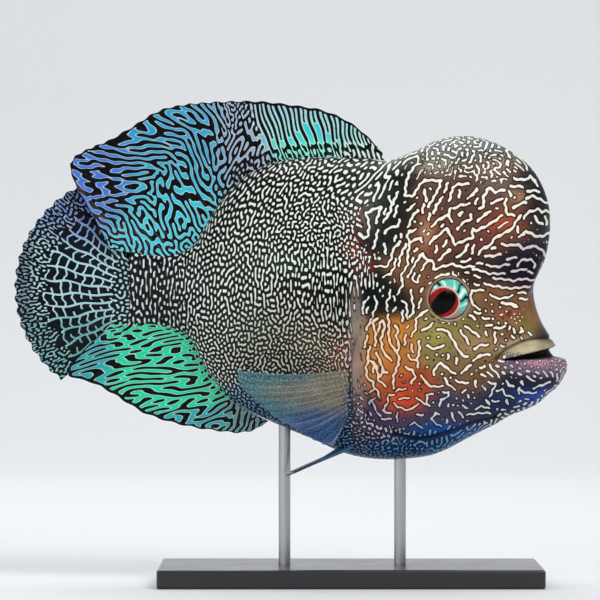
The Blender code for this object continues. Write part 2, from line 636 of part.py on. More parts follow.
def build():
    clear_scene()
    whole = loft("whole", np.linspace(0.0, RIB_KNOTS[-1] - 0.3, 70), 32, pole=True)
    tree = surface_tree(whole)
    bpy.data.objects.remove(whole, do_unlink=True)

    tail_u, shoulder_u, end_u = RIB_KNOTS[TAIL_RIB], RIB_KNOTS[SHOULDER_RIB], RIB_KNOTS[-1]
    tail = loft("tail_stalk", np.linspace(0.0, tail_u, 6), 18, (0.0, -GAP / 2))
    torso = loft("torso", np.linspace(tail_u, shoulder_u, 14), 22, (GAP / 2, -GAP / 2))
    t = np.linspace(0.0, 1.0, 23)[:-1]
    head_places = shoulder_u + (end_u - shoulder_u) * (1 - (1 - t) ** 1.3)
    head = loft("head", head_places, 22, (GAP / 2, 0.0), pole=True)

    plate = gill_plate("gill_cover_right", tree, 0.0, GILL_RAISE, GILL_DEPTH)
    room = gill_plate("gill_room", tree, GAP, GILL_RAISE + 6.0, GILL_DEPTH + GAP)
    cut_both_sides(torso, room, "gill_room_left")
    cut_both_sides(head, room, "gill_room_left")
    bpy.data.objects.remove(room, do_unlink=True)
    ball, socket = eye(tree)
    cut_both_sides(head, socket, "socket_left")
    bpy.data.objects.remove(socket, do_unlink=True)
    pit = nostril(tree)
    cut_both_sides(head, pit, "nostril_left")
    bpy.data.objects.remove(pit, do_unlink=True)
    hump, jaw = divide_head(head)

    dorsal = midline_fin("dorsal_fin", 0.0, DORSAL_BASE, DORSAL_GUIDES, DORSAL_RAYS, *DORSAL_FORM)
    anal = midline_fin("anal_fin", 1.0, ANAL_BASE, ANAL_GUIDES, ANAL_RAYS, *ANAL_FORM)
    caudal = caudal_fin()
    pectoral = pectoral_fin(tree)
    pelvic = pelvic_fin(tree)
    base, rods = stand(tree, torso)

    flank = material("flank", (0.19, 0.2, 0.14))
    for piece in (tail, torso):
        finish(piece, flank)
    finish(head, material("olive_head", (0.3, 0.2, 0.12)))
    finish(hump, material("maroon_hump", (0.28, 0.17, 0.15)))
    finish(jaw, material("navy_jaw", (0.13, 0.15, 0.24)))
    gold = material("gold_gill_cover", (0.42, 0.22, 0.08))
    finish(plate, gold)
    finish(mirrored(plate, "gill_cover_left"), gold)
    finish(dorsal, material("turquoise_dorsal", (0.03, 0.22, 0.28)))
    finish(anal, material("green_anal", (0.02, 0.3, 0.24)))
    finish(caudal, material("dark_caudal", (0.04, 0.12, 0.15)))
    teal = material("teal_pectoral", (0.13, 0.24, 0.26))
    finish(pectoral, teal)
    finish(mirrored(pectoral, "pectoral_fin_left"), teal)
    purple = material("purple_pelvic", (0.12, 0.1, 0.25))
    finish(pelvic, purple)
    finish(mirrored(pelvic, "pelvic_fin_left"), purple)
    iris = material("red_eye", (0.35, 0.04, 0.03), 0.15)
    finish(ball, iris)
    finish(mirrored(ball, "eye_left"), iris)
    finish(base, material("black_base", (0.02, 0.02, 0.022)))
    steel = material("steel_rod", (0.55, 0.55, 0.56), 0.3, 1.0)
    for piece in rods:
        finish(piece, steel)


build()
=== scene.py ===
"""Looks of the flowerhorn cichlid display model, dressed round its CAD frame.

The fish faces +X, its left side is +Y and up is +Z. Sizes are in millimetres unless a name says
otherwise, and MM turns them into the frame's metres.
"""
import math

import bpy
import numpy as np
from mathutils import Matrix, Vector


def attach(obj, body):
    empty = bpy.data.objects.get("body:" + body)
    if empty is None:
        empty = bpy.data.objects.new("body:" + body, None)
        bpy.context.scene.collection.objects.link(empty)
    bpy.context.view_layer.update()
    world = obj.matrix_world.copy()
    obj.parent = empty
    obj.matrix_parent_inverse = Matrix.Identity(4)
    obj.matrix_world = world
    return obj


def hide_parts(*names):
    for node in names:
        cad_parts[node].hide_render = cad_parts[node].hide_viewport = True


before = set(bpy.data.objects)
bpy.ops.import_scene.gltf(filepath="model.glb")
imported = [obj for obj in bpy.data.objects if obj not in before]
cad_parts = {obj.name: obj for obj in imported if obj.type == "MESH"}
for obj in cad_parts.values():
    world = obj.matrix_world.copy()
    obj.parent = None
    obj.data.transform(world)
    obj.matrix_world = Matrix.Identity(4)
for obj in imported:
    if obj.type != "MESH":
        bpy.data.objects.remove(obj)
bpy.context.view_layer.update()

# Body form
# The cast of the fish from tail root to lips, given as ribs in its middle plane. Each rib is a
# bowed chord from back to belly with a half-width, and the hump swells out above them.
MM = 0.001
# Each rib: its end on the back (x, z), its end on the belly (x, z), half-width, bow to the rear
RIBS = np.array((
    (-92.5, 139.5, -92.5, 108.5, 3, 0), (-84, 138, -84, 108.5, 4.8, 0),
    (-75, 138, -75, 107, 6.8, 0), (-67, 141, -68, 103.5, 8.8, 0), (-61.5, 149, -62.5, 93, 11.2, 0),
    (-55, 159.5, -55, 82.5, 14.5, 1), (-46, 169.5, -45, 74, 18, 2.5),
    (-35.5, 175.5, -31, 67, 21.5, 5), (-21, 178.5, -15.5, 60.5, 24.5, 8),
    (-6.5, 179, 0, 54, 26.5, 11.5), (6.5, 178.5, 16, 52, 27.5, 13), (17, 177.5, 33, 53.5, 27.5, 13),
    (26, 181, 39, 55.5, 26.5, 12), (38, 186.5, 45, 58.5, 24.8, 12.5),
    (52.5, 187.5, 50.5, 61.5, 22.8, 12), (65, 182.5, 56.5, 64.5, 20.8, 13),
    (75.5, 174.5, 61.5, 67, 19, 14), (82.5, 161.5, 67.5, 70.5, 17.5, 14),
    (84, 149, 74, 73, 16.3, 13), (82, 136.5, 79, 75.5, 15.4, 11), (77, 124, 83.5, 79.5, 14.4, 6.5),
    (80, 110.5, 87.5, 83, 12.8, 3.5), (83.5, 104.5, 90, 87, 10.8, 1.5),
    (86.5, 99.5, 91, 89.5, 8.2, 1), (87.5, 97.5, 91, 92.5, 5.4, 0), (88.5, 95.5, 88.5, 95.5, 0, 0),
))
BACK_STEP = np.hypot(np.diff(RIBS[:, 0]), np.diff(RIBS[:, 1]))
BELLY_STEP = np.hypot(np.diff(RIBS[:, 2]), np.diff(RIBS[:, 3]))
RIB_KNOTS = np.concatenate(([0.0], np.cumsum((BACK_STEP + BELLY_STEP) / 2)))
# Between these two ribs the cross-section turns heavier below
HEAD_RIBS, HEAD_FULLNESS = (8, 13), 0.25
HUMP_CENTRE, HUMP_RADII, HUMP_BLEND = (50.5, 154.5), (33.5, 21.5, 32.5), 8
MOUTH_CORNER, MOUTH_FRONT = (65.0, 94.0), (89.0, 97.3)
# The lips begin behind the mouth's corner, by this share of its length, and thin out with the body
LIP_START, LIP_FULL_WIDTH = 0.25, 3.0
LIP_HEIGHTS, LIP_RAISE = (5.4, 7.0), 1.1


def smooth(knots, values, at):
    """A smooth curve through the values at the knots, read at the given places."""
    knots, values, at = (np.asarray(a, dtype=float) for a in (knots, values, at))
    slopes = np.gradient(values, knots, axis=0)
    cell = np.clip(np.searchsorted(knots, at, side="right") - 1, 0, len(knots) - 2)
    step = knots[cell + 1] - knots[cell]
    t = (at - knots[cell]) / step
    if values.ndim > 1:
        step, t = step[..., None], t[..., None]
    start = (1 + 2 * t) * (1 - t) ** 2 * values[cell] + t * (1 - t) ** 2 * step * slopes[cell]
    end = t * t * (3 - 2 * t) * values[cell + 1] + t * t * (t - 1) * step * slopes[cell + 1]
    return start + end


def ease(low, high, at):
    """Rises smoothly from 0 at low to 1 at high."""
    t = np.clip((at - low) / (high - low), 0.0, 1.0)
    return t * t * (3.0 - 2.0 * t)


def mouth_line(x):
    """How far along the mouth x is, from its corner to its front, and the mouth's height there."""
    along = (x - MOUTH_CORNER[0]) / (MOUTH_FRONT[0] - MOUTH_CORNER[0])
    return along, MOUTH_CORNER[1] + along * (MOUTH_FRONT[1] - MOUTH_CORNER[1])


def lip_swell(x, z):
    """How far the lips stand out above and below the mouth line."""
    along, line = mouth_line(x)
    grown = np.clip(along + LIP_START, 0.0, 1.0) ** 0.5
    swell = np.zeros_like(x)
    for side, height in zip((1.0, -1.0), LIP_HEIGHTS):
        off = side * (z - line) / (height * np.maximum(grown, 0.01))
        swell += np.clip(1.0 - (2.0 * off - 1.0) ** 2, 0.0, 1.0) ** 1.5
    return LIP_RAISE * grown * swell


def body_surface(u, v):
    """Body points for rib places u and places v from back (0) to belly (1): x, half-width, z."""
    u, v = np.broadcast_arrays(np.asarray(u, dtype=float), np.asarray(v, dtype=float))
    ribs = smooth(RIB_KNOTS, RIBS[:, [0, 1, 2, 3, 5]], u)
    width = np.sqrt(np.maximum(smooth(RIB_KNOTS, RIBS[:, 4] ** 2, u), 0.0))
    down = (1.0 - np.cos(np.pi * v)) / 2
    x = ribs[..., 0] + down * (ribs[..., 2] - ribs[..., 0]) - 4 * ribs[..., 4] * down * (1 - down)
    z = ribs[..., 1] + down * (ribs[..., 3] - ribs[..., 1])
    first, last = (RIB_KNOTS[rib] for rib in HEAD_RIBS)
    fullness = HEAD_FULLNESS * np.clip((u - first) / (last - first), 0, 1)
    half = width * np.sin(np.pi * v) * (1.0 + fullness * (down - 0.5))
    off = ((x - HUMP_CENTRE[0]) / HUMP_RADII[0]) ** 2 + ((z - HUMP_CENTRE[1]) / HUMP_RADII[2]) ** 2
    hump = HUMP_RADII[1] * np.sqrt(np.maximum(1.0 - off, 0.0))
    half = (half ** HUMP_BLEND + hump ** HUMP_BLEND) ** (1 / HUMP_BLEND)
    half = half + lip_swell(x, z) * np.minimum(half / LIP_FULL_WIDTH, 1.0)
    return x, half, z


# Skin of the body
# A real flowerhorn's skin is wet and satin over small overlapping scales, with guanine lines on
# it. The model's is one cast resin skin over the whole body, so it has no seams.
SKIN_RINGS, SKIN_STEPS, LAST_RING_BACK = 640, 340, 0.12
# From this rib place on the rings stand closer, for the lips
LIP_RINGS_FROM, LIP_RINGS_RUN, LIP_RINGS_EXTRA = 205.0, 12.0, 0.9
EYE_FOOT = (40.5, 119.5)
EYE_RADII, EYE_DEPTH = (9.3, 9.3, 6.2), 2.6
SOCKET_RADIUS, SOCKET_DEPTH = 8.5, 5.0
LID_RADIUS, LID_WIDTH, LID_RAISE, LID_INNER_RADIUS = 9.6, 0.9, 0.55, 9.0
NOSTRIL, NOSTRIL_EDGE, NOSTRIL_DEPTH = (66.0, 113.0), (0.5, 1.2), 1.5
NOSTRIL_RIM, NOSTRIL_RIM_WIDTH, NOSTRIL_RIM_RAISE = 1.5, 0.45, 0.35
GILL_OUTLINE = (
    (9, 111.5), (3, 104), (0.5, 93.5), (0.5, 81), (3, 69.5), (10, 61.5), (20, 58.5), (29, 62),
    (34, 71.5), (35.5, 85.5), (33, 98), (27, 108.5), (17.5, 114),
)
# The cover stands up at its rear edge, over a groove, and runs into the cheek between these x
GILL_EDGE, GILL_RAISE, GILL_FADE = (-0.35, 0.45), 1.2, (12.0, 32.0)
GROOVE_PLACE, GROOVE_WIDTH, GROOVE_DEPTH, GROOVE_FADE = -0.9, 0.8, 0.5, (20.0, 34.0)
SCALE_PITCH, SCALE_RADIUS, SCALE_SQUEEZE, SCALE_RAISE = (3.3, 2.9), 0.62, 1.1, 0.16
LIP_CREASE = ((86.0, 103.0), (79.0, 103.2), (72.0, 101.8), (65.0, 98.4), (60.5, 94.5))
THROAT_CREASE = ((18.0, 63.5), (30.0, 61.0), (42.0, 64.0), (50.0, 67.5), (60.0, 70.0))
CREASE_WIDTHS, CREASE_DEPTHS = (0.6, 0.8), (0.7, 0.5)
# The mouth's opening is drawn in towards this point, by these shares along x, y and z
MOUTH_INSIDE, MOUTH_PULL = np.array((62.0, 0.0, 94.3)), np.array((0.14, 0.4, 0.1))
MOUTH_HALF_BACK, MOUTH_HALF_SLOPE, MOUTH_HALF_MOST, MOUTH_EDGE = 0.35, 2.5, 2.7, (0.55, 1.2)


def bell(off, width):
    """1 at no offset, falling away over the width."""
    return np.exp(-(off / width) ** 2)


def spot(x, z, centre_x, centre_z, reach_x, reach_z):
    """1 at a spot's centre, falling away over its reach in x and z."""
    return np.exp(-((x - centre_x) / reach_x) ** 2 - ((z - centre_z) / reach_z) ** 2)


def normals_of(grid):
    """Unit normals of a grid of points, by the cross product of its two directions."""
    normal = np.cross(np.gradient(grid, axis=1), np.gradient(grid, axis=0))
    return normal / (np.linalg.norm(normal, axis=2, keepdims=True) + 1e-9)


def half_skin():
    """The right half of the skin as a grid: rings from tail to lips, steps from back to belly."""
    read = np.linspace(0.0, RIB_KNOTS[-1] - LAST_RING_BACK, 2000)
    closer = ease(LIP_RINGS_FROM, LIP_RINGS_FROM + LIP_RINGS_RUN, read)
    density = np.cumsum(1.0 + LIP_RINGS_EXTRA * closer)
    places = np.interp(np.linspace(density[0], density[-1], SKIN_RINGS), density, read)[:, None]
    coarse = np.linspace(0.0, 1.0, 161)[None, :]
    steps = np.diff(np.stack(body_surface(places, coarse), axis=-1), axis=1)
    travel = np.cumsum(np.linalg.norm(steps, axis=2), axis=1)
    travel = np.concatenate([np.zeros((SKIN_RINGS, 1)), travel], axis=1)
    v = np.empty((SKIN_RINGS, SKIN_STEPS + 1))
    for row in range(SKIN_RINGS):
        even = np.linspace(0.0, travel[row, -1], SKIN_STEPS + 1)
        v[row] = np.interp(even, travel[row], coarse[0])
    x, half, z = body_surface(np.broadcast_to(places, v.shape), v)
    around = travel[:, -1:] * np.linspace(0.0, 1.0, SKIN_STEPS + 1)[None, :]
    return np.stack([x, -half, z], axis=-1), np.broadcast_to(places, v.shape), around


def closed_curve(points, count):
    """A closed curve through the points, as a polyline."""
    loop = np.array([*points[-3:], *points, *points[:3]])
    knots = np.arange(len(loop))
    return smooth(knots, loop, np.linspace(3, len(points) + 3, count + 1))


def inside_by(x, z, loop):
    """Distance inside a closed polyline, negative outside it."""
    nearest = np.full(x.shape, 1e9)
    crossings = np.zeros(x.shape, dtype=int)
    for (ax, az), (bx, bz) in zip(loop[:-1], loop[1:]):
        run = (bx - ax) ** 2 + (bz - az) ** 2 + 1e-9
        t = np.clip(((x - ax) * (bx - ax) + (z - az) * (bz - az)) / run, 0.0, 1.0)
        gap = np.hypot(x - ax - t * (bx - ax), z - az - t * (bz - az))
        nearest = np.minimum(nearest, gap)
        spans = (az > z) != (bz > z)
        cut = ax + (z - az) * (bx - ax) / (bz - az if bz != az else 1e-9)
        crossings += spans & (x < cut)
    return np.where(crossings % 2 == 1, nearest, -nearest)


def line_reach(x, z, points):
    """Distance from an open smooth line through the points."""
    knots = np.arange(len(points))
    line = smooth(knots, np.array(points), np.linspace(0, len(points) - 1, 60))
    nearest = np.full(x.shape, 1e9)
    for px, pz in line:
        nearest = np.minimum(nearest, (x - px) ** 2 + (z - pz) ** 2)
    return np.sqrt(nearest)


def scale_relief(along, across):
    """Overlapping scales, each rising to a free edge towards the tail, from 0 to 1."""
    pitch_s, pitch_t = SCALE_PITCH
    radius = SCALE_RADIUS * pitch_s
    best = np.zeros(along.shape)
    row = np.floor(across / pitch_t)
    for extra in (0, 1):
        shift = 0.5 * ((row + extra) % 2)
        centre_t = (row + extra) * pitch_t
        column = np.floor(along / pitch_s - shift)
        for step in (0, 1):
            centre_s = (column + step + shift) * pitch_s
            ds, dt = along - centre_s, (across - centre_t) * SCALE_SQUEEZE
            within = np.hypot(ds, dt) < radius
            height = 0.5 - ds / (2 * radius)
            best = np.maximum(best, np.where(within, height, 0.0))
    return best


bare_grid, along_body, around_body = half_skin()
bare_x, bare_z = bare_grid[..., 0], bare_grid[..., 2]
normal = normals_of(bare_grid)
eye_index = np.unravel_index(
    np.argmin((bare_x - EYE_FOOT[0]) ** 2 + (bare_z - EYE_FOOT[1]) ** 2), bare_x.shape)
eye_foot, eye_normal = bare_grid[eye_index], normal[eye_index]
eye_reach = np.linalg.norm(bare_grid - eye_foot, axis=2)
gill_inside = inside_by(bare_x, bare_z, closed_curve(GILL_OUTLINE, 90))
nostril_reach = np.hypot(bare_x - NOSTRIL[0], (bare_z - NOSTRIL[1]) * 0.8)
mouth_along, mouth_height = mouth_line(bare_x)
mouth_half = np.clip(MOUTH_HALF_BACK + MOUTH_HALF_SLOPE * mouth_along, 0.0, MOUTH_HALF_MOST)
mouth_off = np.abs(bare_z - mouth_height) / np.maximum(mouth_half, 0.05)
in_mouth = (1.0 - ease(*MOUTH_EDGE, mouth_off)) * (mouth_along > -0.04)
creases = [line_reach(bare_x, bare_z, line) for line in (LIP_CREASE, THROAT_CREASE)]

lift = GILL_RAISE * ease(*GILL_EDGE, gill_inside) * (1.0 - ease(*GILL_FADE, bare_x))
groove = bell(gill_inside - GROOVE_PLACE, GROOVE_WIDTH)
lift -= GROOVE_DEPTH * groove * (1.0 - ease(*GROOVE_FADE, bare_x))
lift += LID_RAISE * bell(eye_reach - LID_RADIUS, LID_WIDTH)
lift -= SOCKET_DEPTH * np.clip(1.0 - (eye_reach / SOCKET_RADIUS) ** 2, 0.0, 1.0) ** 0.5
nostril_rim = NOSTRIL_RIM_RAISE * bell(nostril_reach - NOSTRIL_RIM, NOSTRIL_RIM_WIDTH)
lift -= NOSTRIL_DEPTH * (1.0 - ease(*NOSTRIL_EDGE, nostril_reach)) - nostril_rim
scaled = ease(-2.0, 4.0, -gill_inside) * (1.0 - ease(12.0, 22.0, bare_x))
scaled = scaled * ease(-92.0, -84.0, bare_x)
lift += SCALE_RAISE * (scale_relief(along_body, around_body) - 0.5) * scaled
lift -= sum(depth * bell(crease, width)
            for crease, width, depth in zip(creases, CREASE_WIDTHS, CREASE_DEPTHS))
grid = bare_grid + normal * lift[..., None]
grid += (MOUTH_INSIDE - grid) * MOUTH_PULL * in_mouth[..., None]


def both_sides(half, mirror=False):
    """A field on the right half carried round the whole ring, right side first."""
    left = half[:, -2:0:-1].copy()
    if mirror:
        left[..., 1] *= -1.0
    return np.concatenate([half, left], axis=1)


skin_grid = both_sides(grid, mirror=True)
skin_x, skin_z = both_sides(bare_x), both_sides(bare_z)

# Marks of the skin
# Pale guanine lines grow on the skin as labyrinths, as pigment cells really make them: each pale
# cell feeds its neighbours and starves those a little further off. The growth runs on the skin's
# own grid, with its spacing in real millimetres and its direction given by named strokes.
# Spacing of the marks for 1 mm of spread, and the longest step that stays stable
WAVE_PER_SIGMA, STEP_LIMIT = 11.5, 0.42
# Rounds of growth, spreading passes in each, contrast, and the usual span of a mark's value
GROWTH_ROUNDS, GROWTH_PASSES, GROWTH_GAIN, GROWTH_SPAN = 30, 5, 2.2, 0.47


def growth_steps(points, wave, angle, stretch, closed):
    """Diffusion on the grid, as three fields, that gives marks that far apart in millimetres."""
    pu, pv = np.gradient(points, axis=0), np.gradient(points, axis=1)
    if closed:
        pv = (np.roll(points, -1, axis=1) - np.roll(points, 1, axis=1)) / 2
    n = np.cross(pu, pv)
    n /= np.linalg.norm(n, axis=2, keepdims=True) + 1e-9
    forward = np.array([1.0, 0.0, 0.0]) - n * n[..., :1]
    forward /= np.linalg.norm(forward, axis=2, keepdims=True) + 1e-9
    upward = np.cross(n, forward)
    upward *= np.sign(upward[..., 2:3] + 1e-12)
    m11, m12 = (pu * forward).sum(-1), (pv * forward).sum(-1)
    m21, m22 = (pu * upward).sum(-1), (pv * upward).sum(-1)
    det = m11 * m22 - m12 * m21
    det = np.where(np.abs(det) < 1e-4, 1e-4, det)
    j11, j12, j21, j22 = m22 / det, -m12 / det, -m21 / det, m11 / det
    sigma = wave / WAVE_PER_SIGMA
    long_way, short_way = (sigma * stretch ** 2) ** 2, sigma ** 2
    c, s = np.cos(angle), np.sin(angle)
    d11, d22 = long_way * c * c + short_way * s * s, long_way * s * s + short_way * c * c
    d12 = (long_way - short_way) * c * s
    rows = j11 * (j11 * d11 + j12 * d12) + j12 * (j11 * d12 + j12 * d22)
    columns = j21 * (j21 * d11 + j22 * d12) + j22 * (j21 * d12 + j22 * d22)
    mixed = j11 * (j21 * d11 + j22 * d12) + j12 * (j21 * d12 + j22 * d22)
    return rows, columns, mixed


def grow_marks(points, wave, angle, stretch, bias, seed, closed=False, finest=6):
    """Labyrinth marks on a grid of points: about -1 in the ground and 1 in the lines.

    closed says that the grid's columns meet in rings, and finest how far a step may be halved.
    """
    steps = growth_steps(points, wave, angle, stretch, closed)
    rows, columns, mixed = (f / (2 * GROWTH_PASSES) for f in steps)
    need = np.percentile(rows + columns, 90, axis=1) / STEP_LIMIT
    parts = 2 ** np.clip(np.ceil(np.log2(np.maximum(need, 1.0))), 0, finest).astype(int)
    rows, columns, mixed = (f / parts[:, None] for f in (rows, columns, mixed))
    ease_off = np.minimum(1.0, STEP_LIMIT / np.maximum(rows + columns, 1e-9))
    rows, columns, mixed = ((f * ease_off).astype(np.float32) for f in (rows, columns, mixed))
    rising, falling = np.maximum(mixed, 0.0), np.maximum(-mixed, 0.0)
    rows, columns = rows - rising - falling, columns - rising - falling
    breaks = [0, *(np.flatnonzero(np.diff(parts)) + 1), len(parts)]
    blocks = list(zip(breaks[:-1], breaks[1:]))
    bias = np.asarray(bias, dtype=np.float32)
    field = np.random.default_rng(seed).uniform(-1, 1, rows.shape).astype(np.float32)
    wide = np.empty((rows.shape[0] + 2, rows.shape[1] + 2), dtype=np.float32)
    left, right = (-2, 1) if closed else (1, -2)

    def spread(values):
        """One pass of spreading, in as many parts as each block of rows needs."""
        wide[1:-1, 1:-1] = values
        wide[0, 1:-1], wide[-1, 1:-1] = values[0], values[-1]
        for low, high in blocks:
            a, c, r, f = (part[low:high] for part in (rows, columns, rising, falling))
            view = wide[low:high + 2]
            for _ in range(parts[low]):
                view[:, 0], view[:, -1] = view[:, left], view[:, right]
                mid = view[1:-1, 1:-1]
                change = a * (view[2:, 1:-1] + view[:-2, 1:-1] - 2 * mid)
                change += c * (view[1:-1, 2:] + view[1:-1, :-2] - 2 * mid)
                change += r * (view[2:, 2:] + view[:-2, :-2] - 2 * mid)
                change += f * (view[2:, :-2] + view[:-2, 2:] - 2 * mid)
                mid += change
        return wide[1:-1, 1:-1].copy()

    for _ in range(GROWTH_ROUNDS):
        near = field
        for _ in range(GROWTH_PASSES):
            near = spread(near)
        far = near
        for _ in range(3 * GROWTH_PASSES):
            far = spread(far)
        field = np.tanh(GROWTH_GAIN * (near - far) / GROWTH_SPAN + bias)
    return near


def flow(x, z, strokes):
    """Angle and stretch of the marks, led by strokes: x, z, reach, angle in degrees, stretch."""
    weight, cosine, sine = np.full(x.shape, 0.15), np.zeros(x.shape), np.zeros(x.shape)
    for sx, sz, reach, degrees, stretch in strokes:
        w = np.exp(-((x - sx) ** 2 + (z - sz) ** 2) / reach ** 2)
        weight += w
        cosine += w * (stretch - 1.0) * math.cos(math.radians(2 * degrees))
        sine += w * (stretch - 1.0) * math.sin(math.radians(2 * degrees))
    return np.arctan2(sine, cosine) / 2, 1.0 + np.hypot(cosine, sine) / weight


# Strokes that lead the grown marks: x, z, reach, angle in degrees, stretch
BODY_STROKES = (
    (17, 166, 10, 58, 1.8), (22, 146, 9, 66, 1.7), (17, 122, 8, 72, 1.5), (35, 154, 8, 58, 1.4),
    (48, 150, 9, 40, 1.45), (58, 158, 9, 34, 1.4), (30, 134, 6, 62, 1.6), (50, 182, 9, 40, 1.1),
    (70, 174, 8, -24, 1.4), (14, 92, 10, 94, 2.2), (16, 76, 7, 100, 1.5), (50, 98, 9, -48, 1.3),
    (68, 84, 9, -42, 1.3), (38, 68, 9, 70, 1.3), (30, 116, 6, 84, 1.5), (-80, 123, 14, 84, 1.35),
    (-48, 172, 14, 62, 1.6), (-44, 156, 12, 68, 1.35), (-22, 170, 12, 58, 1.35),
    (2, 168, 10, 50, 1.7), (-6, 152, 7, 112, 1.3), (8, 148, 6, 108, 1.4), (-46, 126, 12, 88, 1.35),
    (-20, 125, 12, 89, 1.5), (2, 120, 9, 87, 1.8), (-36, 106, 14, 66, 1.15),
)
HEAD_WAVE, FLANK_WAVE = 3.7, 2.85
angle, stretch = flow(skin_x, skin_z, BODY_STROKES)
on_head = 1.0 / (1.0 + np.exp(-(skin_x - 13.0 - 0.08 * (skin_z - 120.0)) / 3.5))
wave = FLANK_WAVE + on_head * (HEAD_WAVE - FLANK_WAVE)
turned_up = 1.0 - np.abs(both_sides(normal[..., 1]))
wave *= 1.0 + 0.35 * turned_up * (1.0 - on_head)
# The marks are finer on the snout, and wider apart on the tail stalk and the crown
wave -= 0.7 * ease(58.0, 68.0, skin_x) * ease(122.0, 114.0, skin_z) * ease(88.0, 98.0, skin_z)
wave += 0.6 * ease(-70.0, -78.0, skin_x) + 0.7 * on_head * ease(170.0, 180.0, skin_z)
# Where the real marks thin out: x, z, reach in x and z, hold on their growth, below 0 to crowd
THIN_MARKS = (
    (64, 112, 8, 6, 0.3), (79, 112, 8, 12, 1.5), (54.5, 120.5, 4, 3, 1.2), (78, 101, 10, 2.6, 1.5),
    (78, 91.5, 11, 2.4, 0.7), (2.3, 98, 2.1, 20, 1.5), (-14, 121, 5, 3, 0.35),
    (-26, 124, 4, 3, 0.35), (-2, 120, 5, 3, 0.35), (14, 121, 8, 5, 0.3), (21, 151, 5, 8, 0.3),
    (-84, 122, 8, 12, 0.15), (48, 96, 12, 10, 0.25), (-20, 68, 30, 7, 0.2), (34, 173, 5, 3, 0.5),
    (15, 94, 7, 15, -0.06), (70, 98.2, 9, 2.4, 1.2),
)
thinned = sum(hold * spot(skin_x, skin_z, *place) for *place, hold in THIN_MARKS)
held = bell(eye_reach - LID_INNER_RADIUS, 0.6) + bell(creases[0], 1.0) + bell(creases[1], 1.1)
thinned += 1.2 * both_sides(held)
bias = -0.5 + 0.23 * on_head - thinned
skin_mark = grow_marks(skin_grid, wave, angle, stretch, bias, seed=3, closed=True, finest=4)
# Lines a little wider on the flank, and thinner on the head, the tail stalk and the gill cover
skin_mark += 0.15 * (1.0 - on_head) - 0.03 * on_head - 0.15 * ease(-62.0, -74.0, skin_x)
skin_mark -= 0.1 * spot(skin_x, skin_z, 20.0, 94.0, 12.0, 16.0)

